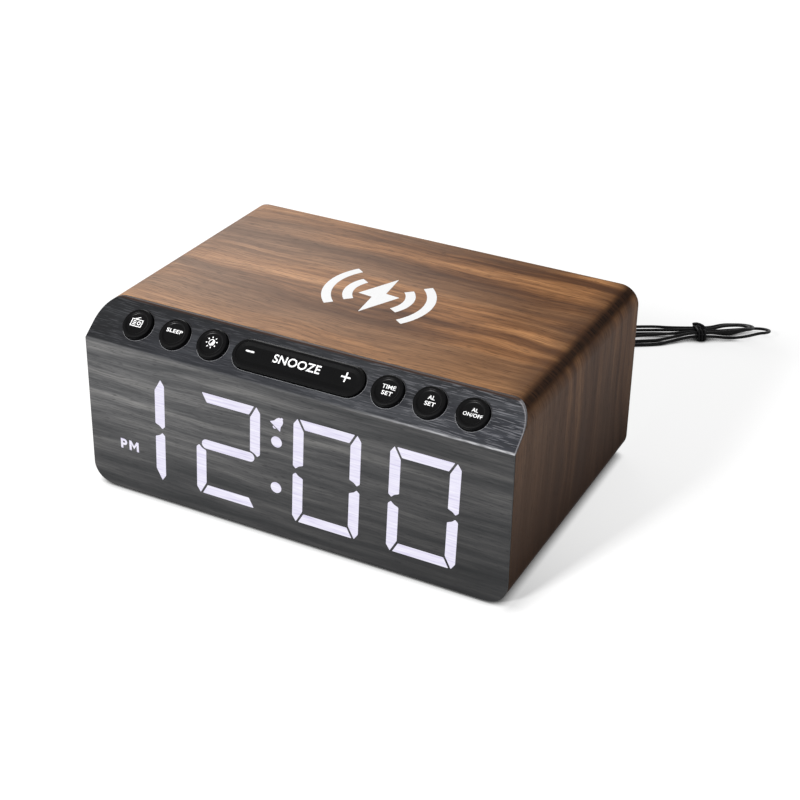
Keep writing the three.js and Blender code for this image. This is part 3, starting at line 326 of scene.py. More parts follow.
def grey_wood():
    """Dark grey wood-pattern film with level streaks and fine pores, and painted light, shade and
    highlights.
    """
    tree = Tree("grey_wood_film")
    x, y, z = tree.axes()
    rise = tree.math("MULTIPLY_ADD", y, 0.5, z)
    drift = tree.streaks(x, rise, 80 * MM, 40 * MM, 0.0, 2)
    bent = tree.math("MULTIPLY_ADD", drift, 6 * MM, rise)
    figure = tree.streaks(x, bent, 75 * MM, 4.2 * MM, 2.2, 5, 0.62)
    fibre = tree.streaks(x, bent, 16 * MM, 0.55 * MM, 7.7, 3, 0.6)
    pores = tree.streaks(x, bent, 4 * MM, 0.5 * MM, 4.1, 1, 0.4)
    pale_streaks = tree.streaks(x, bent, 7 * MM, 0.34 * MM, 6.3, 2, 0.5)
    pore = tree.remap(pores, 0.62, 0.70, 0.0, 0.40)
    front = tree.ramp(figure, [
        (0.32, (0.031, 0.032, 0.033)), (0.46, (0.052, 0.052, 0.053)), (0.58, (0.080, 0.079, 0.079)),
        (0.72, (0.112, 0.110, 0.107))])
    # Painted light: the front is lighter towards the left; it is also darker towards the bottom.
    front = tree.shaded(
        front, tree.remap(x, 70 * MM, -60 * MM, 0.74, 1.55), tree.remap(z, 4 * MM, 42 * MM, 0.50, 1.08))
    # Painted shade and reflection: the slope is a darker, bluer copy of the film, darkest at its left end
    # and paler at its right; it is also darker towards the top.
    slope = tree.ramp(figure, [
        (0.34, (0.008, 0.009, 0.012)), (0.46, (0.017, 0.018, 0.023)), (0.56, (0.033, 0.035, 0.041)),
        (0.70, (0.062, 0.064, 0.072))])
    slope = tree.shaded(
        slope, tree.remap(x, -84 * MM, -50 * MM, 0.28, 0.95), tree.remap(x, 50 * MM, 85 * MM, 1.0, 1.6),
        tree.remap(z, CREASE + 4 * MM, TOP, 1.02, 0.50))
    on_slope = tree.remap(z, CREASE - 0.2 * MM, CREASE + 0.5 * MM)
    to_right = tree.remap(x, 5 * MM, 75 * MM)
    # Pale streaks of the grain on the slope, brighter towards the right as a painted reflection.
    streaks_and_sheen = tree.times(tree.remap(pale_streaks, 0.56, 0.61), on_slope)
    streaks_and_sheen = tree.times(streaks_and_sheen, tree.remap(to_right, 0, 1, 0.10, 0.42))
    # Painted highlight along the crease, stronger towards its right end.
    far_right = tree.remap(x, 22 * MM, 84 * MM, 0.04, 0.95)
    crease_highlight = tree.times(tree.remap(tree.apart(z, CREASE), 0.15 * MM, 0.45 * MM, 1.0, 0.0), far_right)
    # Painted highlight: a pale line round the slope's rounded top right corner.
    past_x, past_z = tree.past(x, WIDTH / 2 - CORNER), tree.past(z, TOP - CORNER)
    outward = tree.math("SQRT", tree.math("ADD", tree.times(past_x, past_x), tree.times(past_z, past_z)))
    rim = tree.times(tree.remap(outward, CORNER - 0.4 * MM, CORNER - 0.1 * MM), to_right)
    colour = tree.coated(
        front,
        (on_slope, slope),
        (tree.remap(fibre, 0.38, 0.62, 0.0, 0.42), (0.018, 0.019, 0.021)),
        (pore, (0.010, 0.010, 0.012)),
        (streaks_and_sheen, (0.24, 0.24, 0.26)),
        (tree.times(crease_highlight, tree.remap(pores, 0.35, 0.60, 0.40, 1.0)), (0.46, 0.46, 0.48)),
        (tree.times(rim, tree.times(on_slope, 0.5)), (0.34, 0.33, 0.35)),
        (tree.remap(z, TOP - 0.55 * MM, TOP - 0.3 * MM), (0.030, 0.014, 0.009)))
    height = tree.math("SUBTRACT", tree.times(fibre, 0.4), pore)
    return tree.finish(
        Base_Color=colour, Roughness=tree.remap(fibre, 0.3, 0.7, 0.48, 0.38),
        Normal=tree.bump(height, 0.04 * MM, 0.5), Specular_IOR_Level=0.25)


def moulded(name, colour, roughness, specular=0.5):
    """Moulded plastic with a fine even texture."""
    tree = Tree(name)
    fine = tree.noise(tree.place(), 3000, 2, 0.6)
    broad = tree.noise(tree.place(), 60, 2, 0.5)
    paler = tuple(min(1, c * 1.35 + 0.0005) for c in colour)
    return tree.finish(
        Base_Color=tree.mix(tree.remap(broad, 0.3, 0.7, 0.0, 0.25), colour, paler),
        Roughness=tree.remap(fine, 0.3, 0.7, roughness - 0.05, roughness + 0.07),
        Normal=tree.bump(fine, 0.02 * MM, 0.4), Specular_IOR_Level=specular)


def metal(name, colour, roughness):
    """Plated metal with faint rubbing marks."""
    tree = Tree(name)
    marks = tree.noise(tree.place(), 900, 4, 0.7)
    return tree.finish(
        Base_Color=tree.mix(tree.remap(marks, 0.3, 0.7), colour, tuple(c * 0.8 for c in colour)),
        Metallic=1.0, Roughness=tree.remap(marks, 0.3, 0.7, roughness, roughness + 0.12))


def lit_film():
    """Cool white light through the grey film, faintly streaked by its grain."""
    tree = Tree("lit_film")
    x, _, z = tree.axes()
    fibre = tree.streaks(x, z, 14 * MM, 0.8 * MM, 2.0, 4, 0.65)
    cloud = tree.streaks(x, z, 30 * MM, 5 * MM, 8.0, 2)
    colour = tree.ramp(fibre, [
        (0.30, (0.60, 0.56, 0.78)), (0.46, (0.80, 0.77, 0.93)), (0.62, (0.90, 0.88, 0.99)),
        (0.75, (0.98, 0.97, 1.0))])
    colour = tree.mix(tree.remap(cloud, 0.4, 0.6, 0.0, 0.2), colour, (0.74, 0.70, 0.88))
    return tree.finish(Base_Color=(0.02, 0.02, 0.024), Roughness=0.45, Emission_Color=colour,
                       Emission_Strength=0.95)


def printed():
    """White pad-printed ink, very slightly uneven."""
    tree = Tree("white_print")
    uneven = tree.noise(tree.place(), 1500, 2, 0.6)
    return tree.finish(
        Base_Color=tree.mix(tree.remap(uneven, 0.3, 0.7, 0, 0.5), (0.88, 0.88, 0.88), (0.80, 0.80, 0.80)),
        Roughness=0.5, Specular_IOR_Level=0.3)


def circuit_board():
    """Green solder mask with darker lines of track."""
    tree = Tree("circuit_board")
    tracks = tree.add("TexBrick", Vector=tree.place(), Scale=260.0, Mortar_Size=0.06)
    shade = tree.remap(tree.noise(tree.place(), 400), 0.4, 0.6)
    colour = tree.mix(shade, (0.012, 0.10, 0.04), (0.02, 0.17, 0.07))
    return tree.finish(Base_Color=tree.mix(0.12, colour, tracks), Roughness=0.35)


# Shared shapes


def mesh_object(name, form, material, body, turn):
    """A piece of the given vertices and faces, put in place by a matrix."""
    vertices, faces = form
    mesh = bpy.data.meshes.new(name)
    mesh.from_pydata([tuple(v) for v in vertices], [], faces)
    joined = bmesh.new()
    joined.from_mesh(mesh)
    bmesh.ops.remove_doubles(joined, verts=joined.verts, dist=SAME_POINT)
    bmesh.ops.dissolve_degenerate(joined, edges=joined.edges, dist=SAME_POINT)
    bmesh.ops.recalc_face_normals(joined, faces=joined.faces)
    joined.to_mesh(mesh)
    joined.free()
    mesh.transform(turn)
    return shown(name, mesh, material, body)


def shade(mesh):
    mesh.shade_smooth()
    mesh.set_sharp_from_angle(angle=SHARP_OVER)


def shown(name, mesh, material, body):
    shade(mesh)
    mesh.materials.clear()
    mesh.materials.append(material)
    piece = linked(name, mesh)
    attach(piece, body)
    return piece


def eased(points, radius, closed=True):
    """An outline with its corners rounded off; a point may carry its own radius third."""
    steps, most = 3, 0.45
    result = []
    count = len(points)
    for k, point in enumerate(points):
        here = Vector(point[:2])
        if not closed and k in (0, count - 1):
            result.append(here)
            continue
        before, after = Vector(points[k - 1][:2]), Vector(points[(k + 1) % count][:2])
        reach = point[2] if len(point) > 2 else radius
        reach = min(reach, (before - here).length * most, (after - here).length * most)
        if reach < NEXT_TO_NOTHING:
            result.append(here)
            continue
        start = here + (before - here).normalized() * reach
        end = here + (after - here).normalized() * reach
        for step in range(steps + 1):
            t = step / steps
            result.append(start * (1 - t) ** 2 + here * 2 * t * (1 - t) + end * t * t)
    return result


def ring(radius, height, half_straight, steps):
    """Points round a circle, or round a bar with round ends."""
    points = []
    for side in (0, 1):
        for k in range(steps + 1):
            angle = (k / steps - 0.5 + side) * math.pi
            shift = half_straight * (1 - 2 * side)
            points.append((shift + radius * math.cos(angle), radius * math.sin(angle), height))
    return points


def turned(profile, half_straight=0.0, steps=32, closed=False):
    """Vertices and faces of a profile of (radius, height) points turned about Z."""
    rings = [ring(p[0], p[1], half_straight, steps) for p in profile]
    size = len(rings[0])
    vertices = [v for one in rings for v in one]
    faces = []
    for k in range(len(rings) if closed else len(rings) - 1):
        low, high = k * size, (k + 1) % len(rings) * size
        for i in range(size):
            j = (i + 1) % size
            faces.append((low + i, low + j, high + j, high + i))
    return vertices, faces


def prism(outlines, low, high):
    """Vertices and faces of flat outlines pushed from one height to another."""
    vertices, faces = [], []
    for outline in outlines:
        first, count = len(vertices), len(outline)
        vertices += [(p[0], p[1], low) for p in outline]
        vertices += [(p[0], p[1], high) for p in outline]
        faces.append(tuple(range(first, first + count)))
        faces.append(tuple(range(first + count, first + 2 * count)))
        for i in range(count):
            j = (i + 1) % count
            faces.append((first + i, first + j, first + count + j, first + count + i))
    return vertices, faces


def arc(centre, radius, angles):
    return [(centre[0] + radius * math.cos(a), centre[1] + radius * math.sin(a)) for a in angles]


def sector(centre, inner, outer, start, end, steps=24):
    """Outline of a stretch of a flat ring, its angles in degrees."""
    angles = [math.radians(start + (end - start) * k / steps) for k in range(steps + 1)]
    return arc(centre, outer, angles) + arc(centre, inner, angles[::-1])


def hoop(centre, inner, outer, steps):
    """Outlines of a flat ring's two halves."""
    return [sector(centre, inner, outer, start, start + 180, steps) for start in (0, 180)]


def disc(centre, radius):
    steps = 28
    return arc(centre, radius, [2 * math.pi * k / steps for k in range(steps)])


def bar(start, end, width):
    """Outline of a straight stroke."""
    a, b = Vector(start), Vector(end)
    aside = (b - a).normalized().orthogonal() * (width / 2)
    return [a - aside, b - aside, b + aside, a + aside]


def in_mm(outline):
    return [(p[0] * MM, p[1] * MM, *[r * MM for r in p[2:]]) for p in outline]


def print_shapes(name, outlines, surface, lift, material, body="case"):
    """Outlines in millimetres printed on a face, as a thin layer of ink."""
    form = prism([in_mm(o) for o in outlines], lift - SINK, lift + INK)
    return mesh_object(name, form, material, body, surface)


def print_words(name, words, centre, size, surface, lift, material, body):
    """Words in Blender's own typeface, fitted to a width and height, as a thin layer of ink."""
    curve = bpy.data.curves.new(name, "FONT")
    curve.body = words
    curve.extrude = 0.5
    curve.offset = 0.016
    curve.space_character = 1.04
    writer = linked(name + "_writer", curve)
    mesh = bpy.data.meshes.new_from_object(writer.evaluated_get(bpy.context.evaluated_depsgraph_get()))
    bpy.data.objects.remove(writer)
    bpy.data.curves.remove(curve)
    low = Vector([min(v.co[i] for v in mesh.vertices) for i in range(3)])
    high = Vector([max(v.co[i] for v in mesh.vertices) for i in range(3)])
    middle = (low + high) / 2
    wide, tall = size[0] * MM / (high.x - low.x), size[1] * MM / (high.y - low.y)
    fit = Matrix.Diagonal((wide, tall, INK + SINK, 1)) @ Matrix.Translation((-middle.x, -middle.y, 0.5))
    place = Matrix.Translation((centre[0] * MM, centre[1] * MM, lift - SINK))
    mesh.transform(surface @ place @ fit)
    return shown(name, mesh, material, body)


# Edges of the frame's own solids: flat faces joined, edges rounded a little, curved walls smoothed


def shading_group():
    group = bpy.data.node_groups.new("shade_by_angle", "GeometryNodeTree")
    for way in ("INPUT", "OUTPUT"):
        group.interface.new_socket("Geometry", in_out=way, socket_type="NodeSocketGeometry")
    source, target, faces, edges, angle, over = (group.nodes.new(kind) for kind in (
        "NodeGroupInput", "NodeGroupOutput", "GeometryNodeSetShadeSmooth", "GeometryNodeSetShadeSmooth",
        "GeometryNodeInputMeshEdgeAngle", "ShaderNodeMath"))
    edges.domain = "EDGE"
    edges.inputs["Shade Smooth"].default_value = False
    over.operation = "GREATER_THAN"
    over.inputs[1].default_value = SMOOTH_WITHIN
    for giver, output, taker, socket in (
            (source, 0, faces, "Geometry"), (faces, 0, edges, "Geometry"),
            (angle, "Unsigned Angle", over, 0), (over, 0, edges, "Selection"), (edges, 0, target, 0)):
        group.links.new(giver.outputs[output], taker.inputs[socket])
    return group


def soften(names, width):
    for name in names:
        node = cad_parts[name]
        flat = node.modifiers.new("join_flat_faces", "DECIMATE")
        flat.decimate_type = "DISSOLVE"
        flat.angle_limit = FLAT_WITHIN
        if width:
            edge = node.modifiers.new("round_edges", "BEVEL")
            edge.width = width
            edge.segments = 2
            edge.limit_method = "ANGLE"
            edge.angle_limit = BEVEL_OVER
            edge.miter_outer = "MITER_ARC"
            edge.use_clamp_overlap = True
        smooth = node.modifiers.new("shade", "NODES")
        smooth.node_group = SHADING


# Aerial: one wire from the grommet to the hank's free end. It follows the CAD solids' route, but its
# strands spread before the tie, its loops lie tilted after it, and its folds are up to 4 mm from theirs.

WIRE = 1.4 * MM
HANK_LOOPS = 3
HANK_PITCH = 1.95 * MM
FOLD_RADIUS = 4.5 * MM
TIE_FROM_FAR = 36 * MM
FAR_FLARE = 13 * MM
UPPER_SETBACK = 9 * MM
TIE_LENGTH = 5 * MM
TIE_WALL = 0.9 * MM
TIE_GAP = 0.5 * MM
FOLD_STEPS = 9
SPREAD_END = 6 * MM
SPREAD_REACH = 16 * MM
SPREAD_TO = [-6.6 * MM, 2.8 * MM, 0.2 * MM, 4.1 * MM, -2.9 * MM, 6.6 * MM]
SPREAD_RISE = [0, 0.8 * MM, 0.3 * MM, 0, -1.9 * MM, 0.6 * MM]
FAR_TILT = 0.30
LIFT_REACH = 9 * MM
GROMMET_END = Vector((62, 66.7, 20)) * MM
HANK_NEAR = Vector((4.6, 128.9, 0)) * MM
HANK_FAR = Vector((114.6, 197.9, 0)) * MM
HANK_LENGTH = (HANK_FAR - HANK_NEAR).length
HANK_HEADING = (HANK_FAR - HANK_NEAR) / HANK_LENGTH
HANK_ASIDE = Vector((-HANK_HEADING.y, HANK_HEADING.x, 0))
HANK_LOW = WIRE / 2 + 0.15 * MM
HANK_OUTER = FOLD_RADIUS + HANK_PITCH * HANK_LOOPS / 2
UPPER_EDGE = HANK_OUTER + WIRE / 2
TIE_AT = HANK_LENGTH - TIE_FROM_FAR
LEAD_SHARES = [
    (0.08, -0.06, 0.92), (0.14, -0.1, 0.68), (0.2, -0.14, 0.28), (0.3, -0.17, 0.05),
    (0.42, -0.13, 0), (0.6, 0.05, 0), (0.74, 0.27, 0), (0.88, 0.4, 0), (1, 0.36, 0), (1.03, 0.22, 0)]


def smooth_step(t):
    t = min(max(t, 0), 1)
    return t * t * (3 - 2 * t)


def on_hank(along, side, z):
    return HANK_NEAR + HANK_HEADING * along + HANK_ASIDE * side + Vector((0, 0, z))


def far_rise(side):
    """The far loops lie tilted, higher towards the front."""
    return FAR_TILT * (UPPER_EDGE - side)


def hank_run(run, near_fold, far_fold):
    """One run of the hank, from its near fold to its far one: spread, drawn in by the tie, opened."""
    innermost = HANK_LOOPS - 1
    sign = -1 if run % 2 == 0 else 1
    out = abs(run - innermost) / 2
    opened = sign * (FOLD_RADIUS + HANK_PITCH * out)
    drawn_in = HANK_PITCH * (out if sign > 0 else -out - 0.5)
    widest = TIE_AT - SPREAD_END - SPREAD_REACH
    stations = [
        near_fold, near_fold + (widest - near_fold) / 2, widest, TIE_AT - SPREAD_END - SPREAD_REACH / 2,
        TIE_AT - TIE_LENGTH, TIE_AT + TIE_LENGTH]
    if far_fold - FAR_FLARE > TIE_AT + 2 * TIE_LENGTH:
        stations.append(far_fold - FAR_FLARE)
    stations += [far_fold - FAR_FLARE / 2, far_fold]
    points = []
    for along in stations:
        side, rise = drawn_in, 0
        if along > TIE_AT:
            flared = smooth_step((along - far_fold + FAR_FLARE) / FAR_FLARE)
            side += (opened - drawn_in) * flared
            rise = far_rise(side) * flared
        else:
            spread = smooth_step((TIE_AT - SPREAD_END - along) / SPREAD_REACH)
            to_fold = smooth_step((widest - along) / (widest - near_fold))
            side += (SPREAD_TO[run] - drawn_in) * spread
            side += (opened - side) * to_fold
            rise = SPREAD_RISE[run] * spread * (1 - to_fold)
        climbed = smooth_step((along - near_fold) / (far_fold - near_fold))
        level = climbed if run == innermost else float(run > innermost)
        lift = (TIE_WALL + TIE_GAP) * smooth_step(2 - abs(along - TIE_AT) / LIFT_REACH)
        points.append(on_hank(along, side, HANK_LOW + HANK_PITCH * level + lift + rise))
    return points if sign < 0 else points[::-1]


def hank_route():
    innermost = HANK_LOOPS - 1
    near_fold = HANK_OUTER + WIRE / 2
    points = []
    for run in range(2 * HANK_LOOPS):
        far_fold = HANK_LENGTH - near_fold - (0 if run < innermost else UPPER_SETBACK)
        points += hank_run(run, near_fold, far_fold)
        if run + 1 == 2 * HANK_LOOPS:
            break
        centre, turn = (far_fold, -0.5) if run % 2 == 0 else (near_fold, 0.5)
        out, next_out = abs(run - innermost) / 2, abs(run + 1 - innermost) / 2
        for step in range(1, FOLD_STEPS):
            share = step / FOLD_STEPS
            radius = FOLD_RADIUS + HANK_PITCH * (out * (1 - share) + next_out * share)
            angle = (share + turn) * math.pi
            side = radius * math.sin(angle)
            rise = far_rise(side) if run % 2 == 0 else 0
            points.append(on_hank(centre + radius * math.cos(angle), side,
                                  HANK_LOW + HANK_PITCH * (0 if run < innermost else 1) + rise))
    return points


def spline_points(points, steps):
    """Points of a smooth curve through the given ones, denser by the given number of steps."""
    ends = [points[0] * 2 - points[1], *points, points[-1] * 2 - points[-2]]
    knots = [0]
    for a, b in zip(ends, ends[1:]):
        knots.append(knots[-1] + max((b - a).length, NEXT_TO_NOTHING) ** 0.5)
    result = []
    for k in range(1, len(ends) - 2):
        t = knots[k - 1:k + 3]
        for step in range(steps):
            p = ends[k - 1:k + 3]
            s = t[1] + (t[2] - t[1]) * step / steps
            for span in (1, 2):
                p = [p[i] * ((t[i + span] - s) / (t[i + span] - t[i]))
                     + p[i + 1] * ((s - t[i]) / (t[i + span] - t[i])) for i in range(4 - span)]
            result.append(p[0] * ((t[2] - s) / (t[2] - t[1])) + p[1] * ((s - t[1]) / (t[2] - t[1])))
    return [*result, points[-1]]


def wire_along(name, points, diameter, material):
    """A round wire along a list of points, as a curve of one open spline."""
    curve = bpy.data.curves.new(name, "CURVE")
    curve.dimensions = "3D"
    curve.bevel_depth = diameter / 2
    curve.bevel_resolution = 4
    curve.use_fill_caps = True
    spline = curve.splines.new("POLY")
    spline.points.add(len(points) - 1)
    for spot, point in zip(spline.points, points):
        spot.co = (*point, 1)
    curve.materials.append(material)
    wire = linked(name, curve)
    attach(wire, "case")
    return wire


def add_tie(material):
    """A short wire wound round the hank, its ends tucked down over the turns."""
    thick = 1.3 * MM
    half_wide = HANK_PITCH * HANK_LOOPS / 2 + WIRE / 2 + thick / 2
    low, high = 0.15 * MM + thick / 2, HANK_LOW + TIE_WALL + TIE_GAP + HANK_PITCH + WIRE / 2 + thick / 2
    middle, half_high = (low + high) / 2, (high - low) / 2
    turns, steps, squareness, begins = 2.75, 28, 4, math.pi * 0.15
    pitch = 1.42 * MM
    points = []
    for k in range(int(turns * steps) + 1):
        angle = 2 * math.pi * k / steps + begins
        across, up = math.cos(angle), math.sin(angle)
        squared = (abs(across) ** squareness + abs(up) ** squareness) ** (-1 / squareness)
        along = TIE_AT + (k / steps - turns / 2) * pitch
        points.append(on_hank(along, half_wide * across * squared, middle + half_high * up * squared))
    knot = [on_hank(TIE_AT + along * MM, side * MM, high + up * MM) for along, side, up in (
        (1.5, -1.2, 0.9), (0, 0.5, 1.45), (-1.6, 2.1, 1.25), (-2.6, 3.6, 0.35))]
    line = spline_points([*points, *knot], 3)
    tie = wire_along("tie_wire", line, thick, material)
    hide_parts("hank_tie")
    return tie


def add_aerial(material):
    hank = hank_route()
    start, end = GROMMET_END, hank[0]
    way = Vector((end.x - start.x, end.y - start.y, 0))
    sideways = Vector((-way.y, way.x, 0))
    low = end.z
    lead = [start, start + Vector((0, WIRE, 0))]
    for along, across, up in LEAD_SHARES:
        point = start + way * along + sideways * across
        point.z = low + (start.z - low) * up
        lead.append(point)
    lead.append(end - HANK_HEADING * HANK_OUTER)
    line = [Vector((p.x, p.y, max(p.z, HANK_LOW))) for p in spline_points([*lead, *hank], 5)]
    wire = wire_along("aerial_wire", line, WIRE, material)
    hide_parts("antenna_lead", "antenna_hank")
    add_tie(material)


# Keys: turned caps with a flat dish inside a raised, rounded rim


def key_profile():
    """Half section of a key as (radius, height, rounding), from its tip below to its dish."""
    lip, flange = 0.9 * MM, 1 * MM
    floor = KEY_PROUD - KEY_DISH
    return [
        (0, TIP_END), (TIP_RADIUS, TIP_END, 0.3 * MM), (TIP_RADIUS, LIP_BOTTOM, 0),
        (KEY_RADIUS + lip, LIP_BOTTOM, 0.1 * MM), (KEY_RADIUS + lip, LIP_BOTTOM + flange, 0.2 * MM),
        (KEY_RADIUS, LIP_BOTTOM + flange, 0.1 * MM), (KEY_RADIUS, KEY_PROUD, 0.75 * MM),
        (KEY_RADIUS - 1.45 * MM, KEY_PROUD, 0.2 * MM), (KEY_RADIUS - 1.6 * MM, floor + 0.22 * MM, 0.1 * MM),
        (KEY_RADIUS - 1.95 * MM, floor, 0.25 * MM), (0, floor)]


def add_keys(material, edge_material):
    form = turned(eased(key_profile(), 0, closed=False))
    for key, x in KEY_PLACES.items():
        place = SLOPE @ Matrix.Translation((x, KEY_ROW, 0))
        cap = mesh_object(f"{key}_cap", form, material, f"{key}_key", place)
        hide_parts(f"{key}_button")
        add_hole_edge(f"{key}_hole_edge", x, 0, edge_material)
    add_hole_edge("snooze_hole_edge", 0, BAR_HALF, edge_material)


def add_hole_edge(name, x, half_straight, material):
    """The film's cut edge round a key hole: a narrow slope that catches the light."""
    inner, outer, foot = HOLE_RADIUS - 0.04 * MM, HOLE_RADIUS + 0.2 * MM, -0.7 * MM
    rim = HOLE_RADIUS + 0.12 * MM
    above = 0.012 * MM
    profile = [(inner, foot), (inner, -0.14 * MM), (rim, above), (outer, above), (outer, foot)]
    mesh_object(name, turned(profile, half_straight, closed=True), material, "case",
                SLOPE @ Matrix.Translation((x, KEY_ROW, 0)))


def add_legends(ink):
    dish = KEY_PROUD - KEY_DISH
    for name, words, key, centre, size in (
            ("sleep_word", "SLEEP", "sleep", (-53.8, 11.0), (7.0, 1.55)),
            ("time_word", "TIME", "time_set", (37.2, 11.45), (5.4, 1.6)),
            ("time_set_word", "SET", "time_set", (37.3, 9.05), (4.2, 1.6)),
            ("alarm_word", "AL", "alarm_set", (54.0, 11.75), (2.7, 1.6)),
            ("alarm_set_word", "SET", "alarm_set", (54.2, 9.35), (4.1, 1.6)),
            ("alarm_switch_word", "AL", "alarm_on_off", (71.0, 11.4), (2.4, 1.4)),
            ("on_off_word", "ON/OFF", "alarm_on_off", (70.8, 9.4), (7.4, 1.4)),
            ("snooze_word", "SNOOZE", "snooze", (-0.45, 10.85), (19.7, 3.4))):
        print_words(name, words, centre, size, SLOPE, dish, ink, f"{key}_key")

    def strokes(*ends):
        return [eased(bar(start, end, 0.62), 0.15) for start, end in ends]

    for name, shapes, key in (
            ("minus_sign", strokes(((-22.3, 10.96), (-18.7, 10.96))), "snooze"),
            ("plus_sign", strokes(((17.95, 10.85), (21.85, 10.85)), ((19.9, 11.17), (19.9, 12.8)),
                                  ((19.9, 10.53), (19.9, 8.9))), "snooze"),
            ("dimmer_sign", sun_shapes((-37.0, 10.5)), "dimmer"),
            ("radio_sign", radio_shapes((-70.8, 10.3)), "radio")):
        print_shapes(name, shapes, SLOPE, dish, ink, f"{key}_key")


def sun_shapes(centre):
    """A sun, half of its disc filled, with eight rays."""
    rays, turn = 8, 10
    shapes = [*hoop(centre, 0.98, 1.32, 12), sector(centre, 0.0001, 0.98, -115, 65, 12)]
    for k in range(rays):
        angle = math.radians(360 / rays * k + turn)
        way = Vector((math.cos(angle), math.sin(angle)))
        middle = Vector(centre)
        shapes.append(bar(middle + way * 1.8, middle + way * 2.4, 0.42))
    return shapes


def radio_shapes(centre):
    """A small radio: its case, a round speaker, three lines for the scale and a slanted aerial."""
    x, y = centre
    wide, tall, line = 2.35, 1.4, 0.34
    lines = [((-wide, side * tall), (wide, side * tall)) for side in (-1, 1)]
    lines += [((side * wide, -tall - line / 2), (side * wide, tall + line / 2)) for side in (-1, 1)]
    lines += [((-1.7, level), (-0.3, level)) for level in (0.68, 0, -0.68)]
    lines.append(((-1.4, tall), (0.8, tall + 1.15)))
    shapes = [bar((x + a[0], y + a[1]), (x + b[0], y + b[1]), line) for a, b in lines]
    return shapes + hoop((x + 1.0, y), 0.48, 0.82, 10)


# Display: the lit segments, dots, mark and bell, as they show through the film


def segment_outlines(names):
    """A digit's segments in metres from its lower left corner, by the rules of the windows behind."""
    w, h, t = DIGIT_WIDTH, DIGIT_HEIGHT, SEGMENT_WIDTH
    middle, radius = h / 2, BAR_THICKNESS / 2
    mitre = t / 2
    mitre_run = (t - mitre) / BAR_THICKNESS
    aside = SEGMENT_GAP / 2 * math.hypot(1, mitre_run)
    room = radius + SEGMENT_GAP
    knee = room * math.sqrt(0.5)
    level = [(mitre + aside, h), (t + aside, h - BAR_THICKNESS), (w - t - aside, h - BAR_THICKNESS),
             (w - mitre - aside, h)]
    centre = BAR_INSET + radius
    upright = [(0, h - SEGMENT_CHAMFER), (mitre - aside, h), (t, h - BAR_THICKNESS - aside / mitre_run),
               (t, middle + room), (centre - knee, middle + knee), (PEAK_INSET, middle + SEGMENT_GAP),
               (0, middle + radius)]

    def across(points):
        return [(w - x, z) for x, z in points]

    def below(points):
        return [(x, h - z) for x, z in points]

    steps = 12
    angles = [(k / steps - 0.5) * math.pi for k in range(steps + 1)]
    bar_ends = arc((w - centre, middle), radius, angles) + arc((centre, middle), -radius, angles)
    outlines = {"a": level, "b": across(upright), "c": below(across(upright)), "d": below(level),
                "e": below(upright), "f": upright, "g": bar_ends}
    return {name: outlines[name] for name in names}


def add_display(lit):
    lean_from = DIGIT_HEIGHT / 2
    last_x = MASK_HALF - DISPLAY_MARGIN - DIGIT_WIDTH
    third_x = last_x - DIGIT_GAP - DIGIT_WIDTH
    second_x = third_x - COLON_GAP - DIGIT_WIDTH
    first_x = second_x - FIRST_GAP - DIGIT_WIDTH
    for digit, names, left in (("first", "bc", first_x), ("second", "abged", second_x),
                               ("third", "abcdef", third_x), ("fourth", "abcdef", last_x)):
        shapes = []
        for name, outline in segment_outlines(names).items():
            placed = [(left + x + (z - lean_from) * DIGIT_LEAN, z + DIGIT_MARGIN) for x, z in outline]
            shapes.append(placed if name == "g" else eased(placed, 0.35 * MM))
        mesh_object(f"{digit}_digit", prism(shapes, -SINK, INK), lit, "case", FACE)
    colon_x, lean, dot = (third_x - COLON_GAP / 2) / MM, 0.3, 2.3
    print_shapes("colon_dots", [disc((colon_x - lean, 22.2), dot), disc((colon_x + lean, 42.2), dot)],
                 FACE, 0, lit)
    print_shapes("alarm_bell", bell_shapes(), FACE, 0, lit)
    print_shapes("pm_mark", pm_shapes((-76.4, 19.25)), FACE, 0, lit)


def pm_shapes(corner):
    """The letters P and M in plain strokes, from their lower left corner."""
    x, y = corner
    tall, stroke = 4.3, 1.0
    p_wide, m_left, m_wide = 3.0, 4.0, 4.4
    half, bowl = stroke / 2, 1.4
    centre = (x + p_wide - bowl, y + tall - bowl)
    valley = (x + m_left + m_wide / 2, y + 0.9)
    shapes = [bar((x + half, y), (x + half, y + tall), stroke),
              bar((x + stroke, y + tall - half), (centre[0], y + tall - half), stroke),
              bar((x + stroke, centre[1] - bowl + half), (centre[0], centre[1] - bowl + half), stroke),
              sector(centre, bowl - stroke, bowl, -90, 90, 14)]
    for side in (-1, 1):
        outer = valley[0] + side * (m_wide / 2 - half)
        shapes.append(bar((outer, y), (outer, y + tall), stroke))
        inner = outer - side * half
        shapes.append([(inner, y + tall), (valley[0], valley[1] + stroke * 1.3), (valley[0], valley[1]),
                       (inner, y + tall - stroke * 1.6)][::side])
    return shapes


def bell_shapes():
    """A ringing bell, its mouth towards the lower left."""
    turn = Matrix.Rotation(math.radians(-38), 2)
    mouth = Vector((-5.6, 48.7))

    def placed(points):
        return [tuple(mouth + turn @ Vector(p[:2])) for p in points]

    dome = [(-2.75, 0), (2.75, 0), (2.3, 0.75), (1.75, 1.7), (1.6, 3.2), (1.15, 4.3), (0.45, 4.75),
            (0.45, 5.3), (-0.45, 5.3), (-0.45, 4.75), (-1.15, 4.3), (-1.6, 3.2), (-1.75, 1.7), (-2.3, 0.75)]
    clapper = [(0.75 * math.cos(math.pi * (1 + k / 8)), -0.35 + 0.7 * math.sin(math.pi * (1 + k / 8)))
               for k in range(9)]
    return [eased(placed(dome), 0.25), placed(clapper)]


# Charging sign printed on the top: a bolt between two pairs of arcs


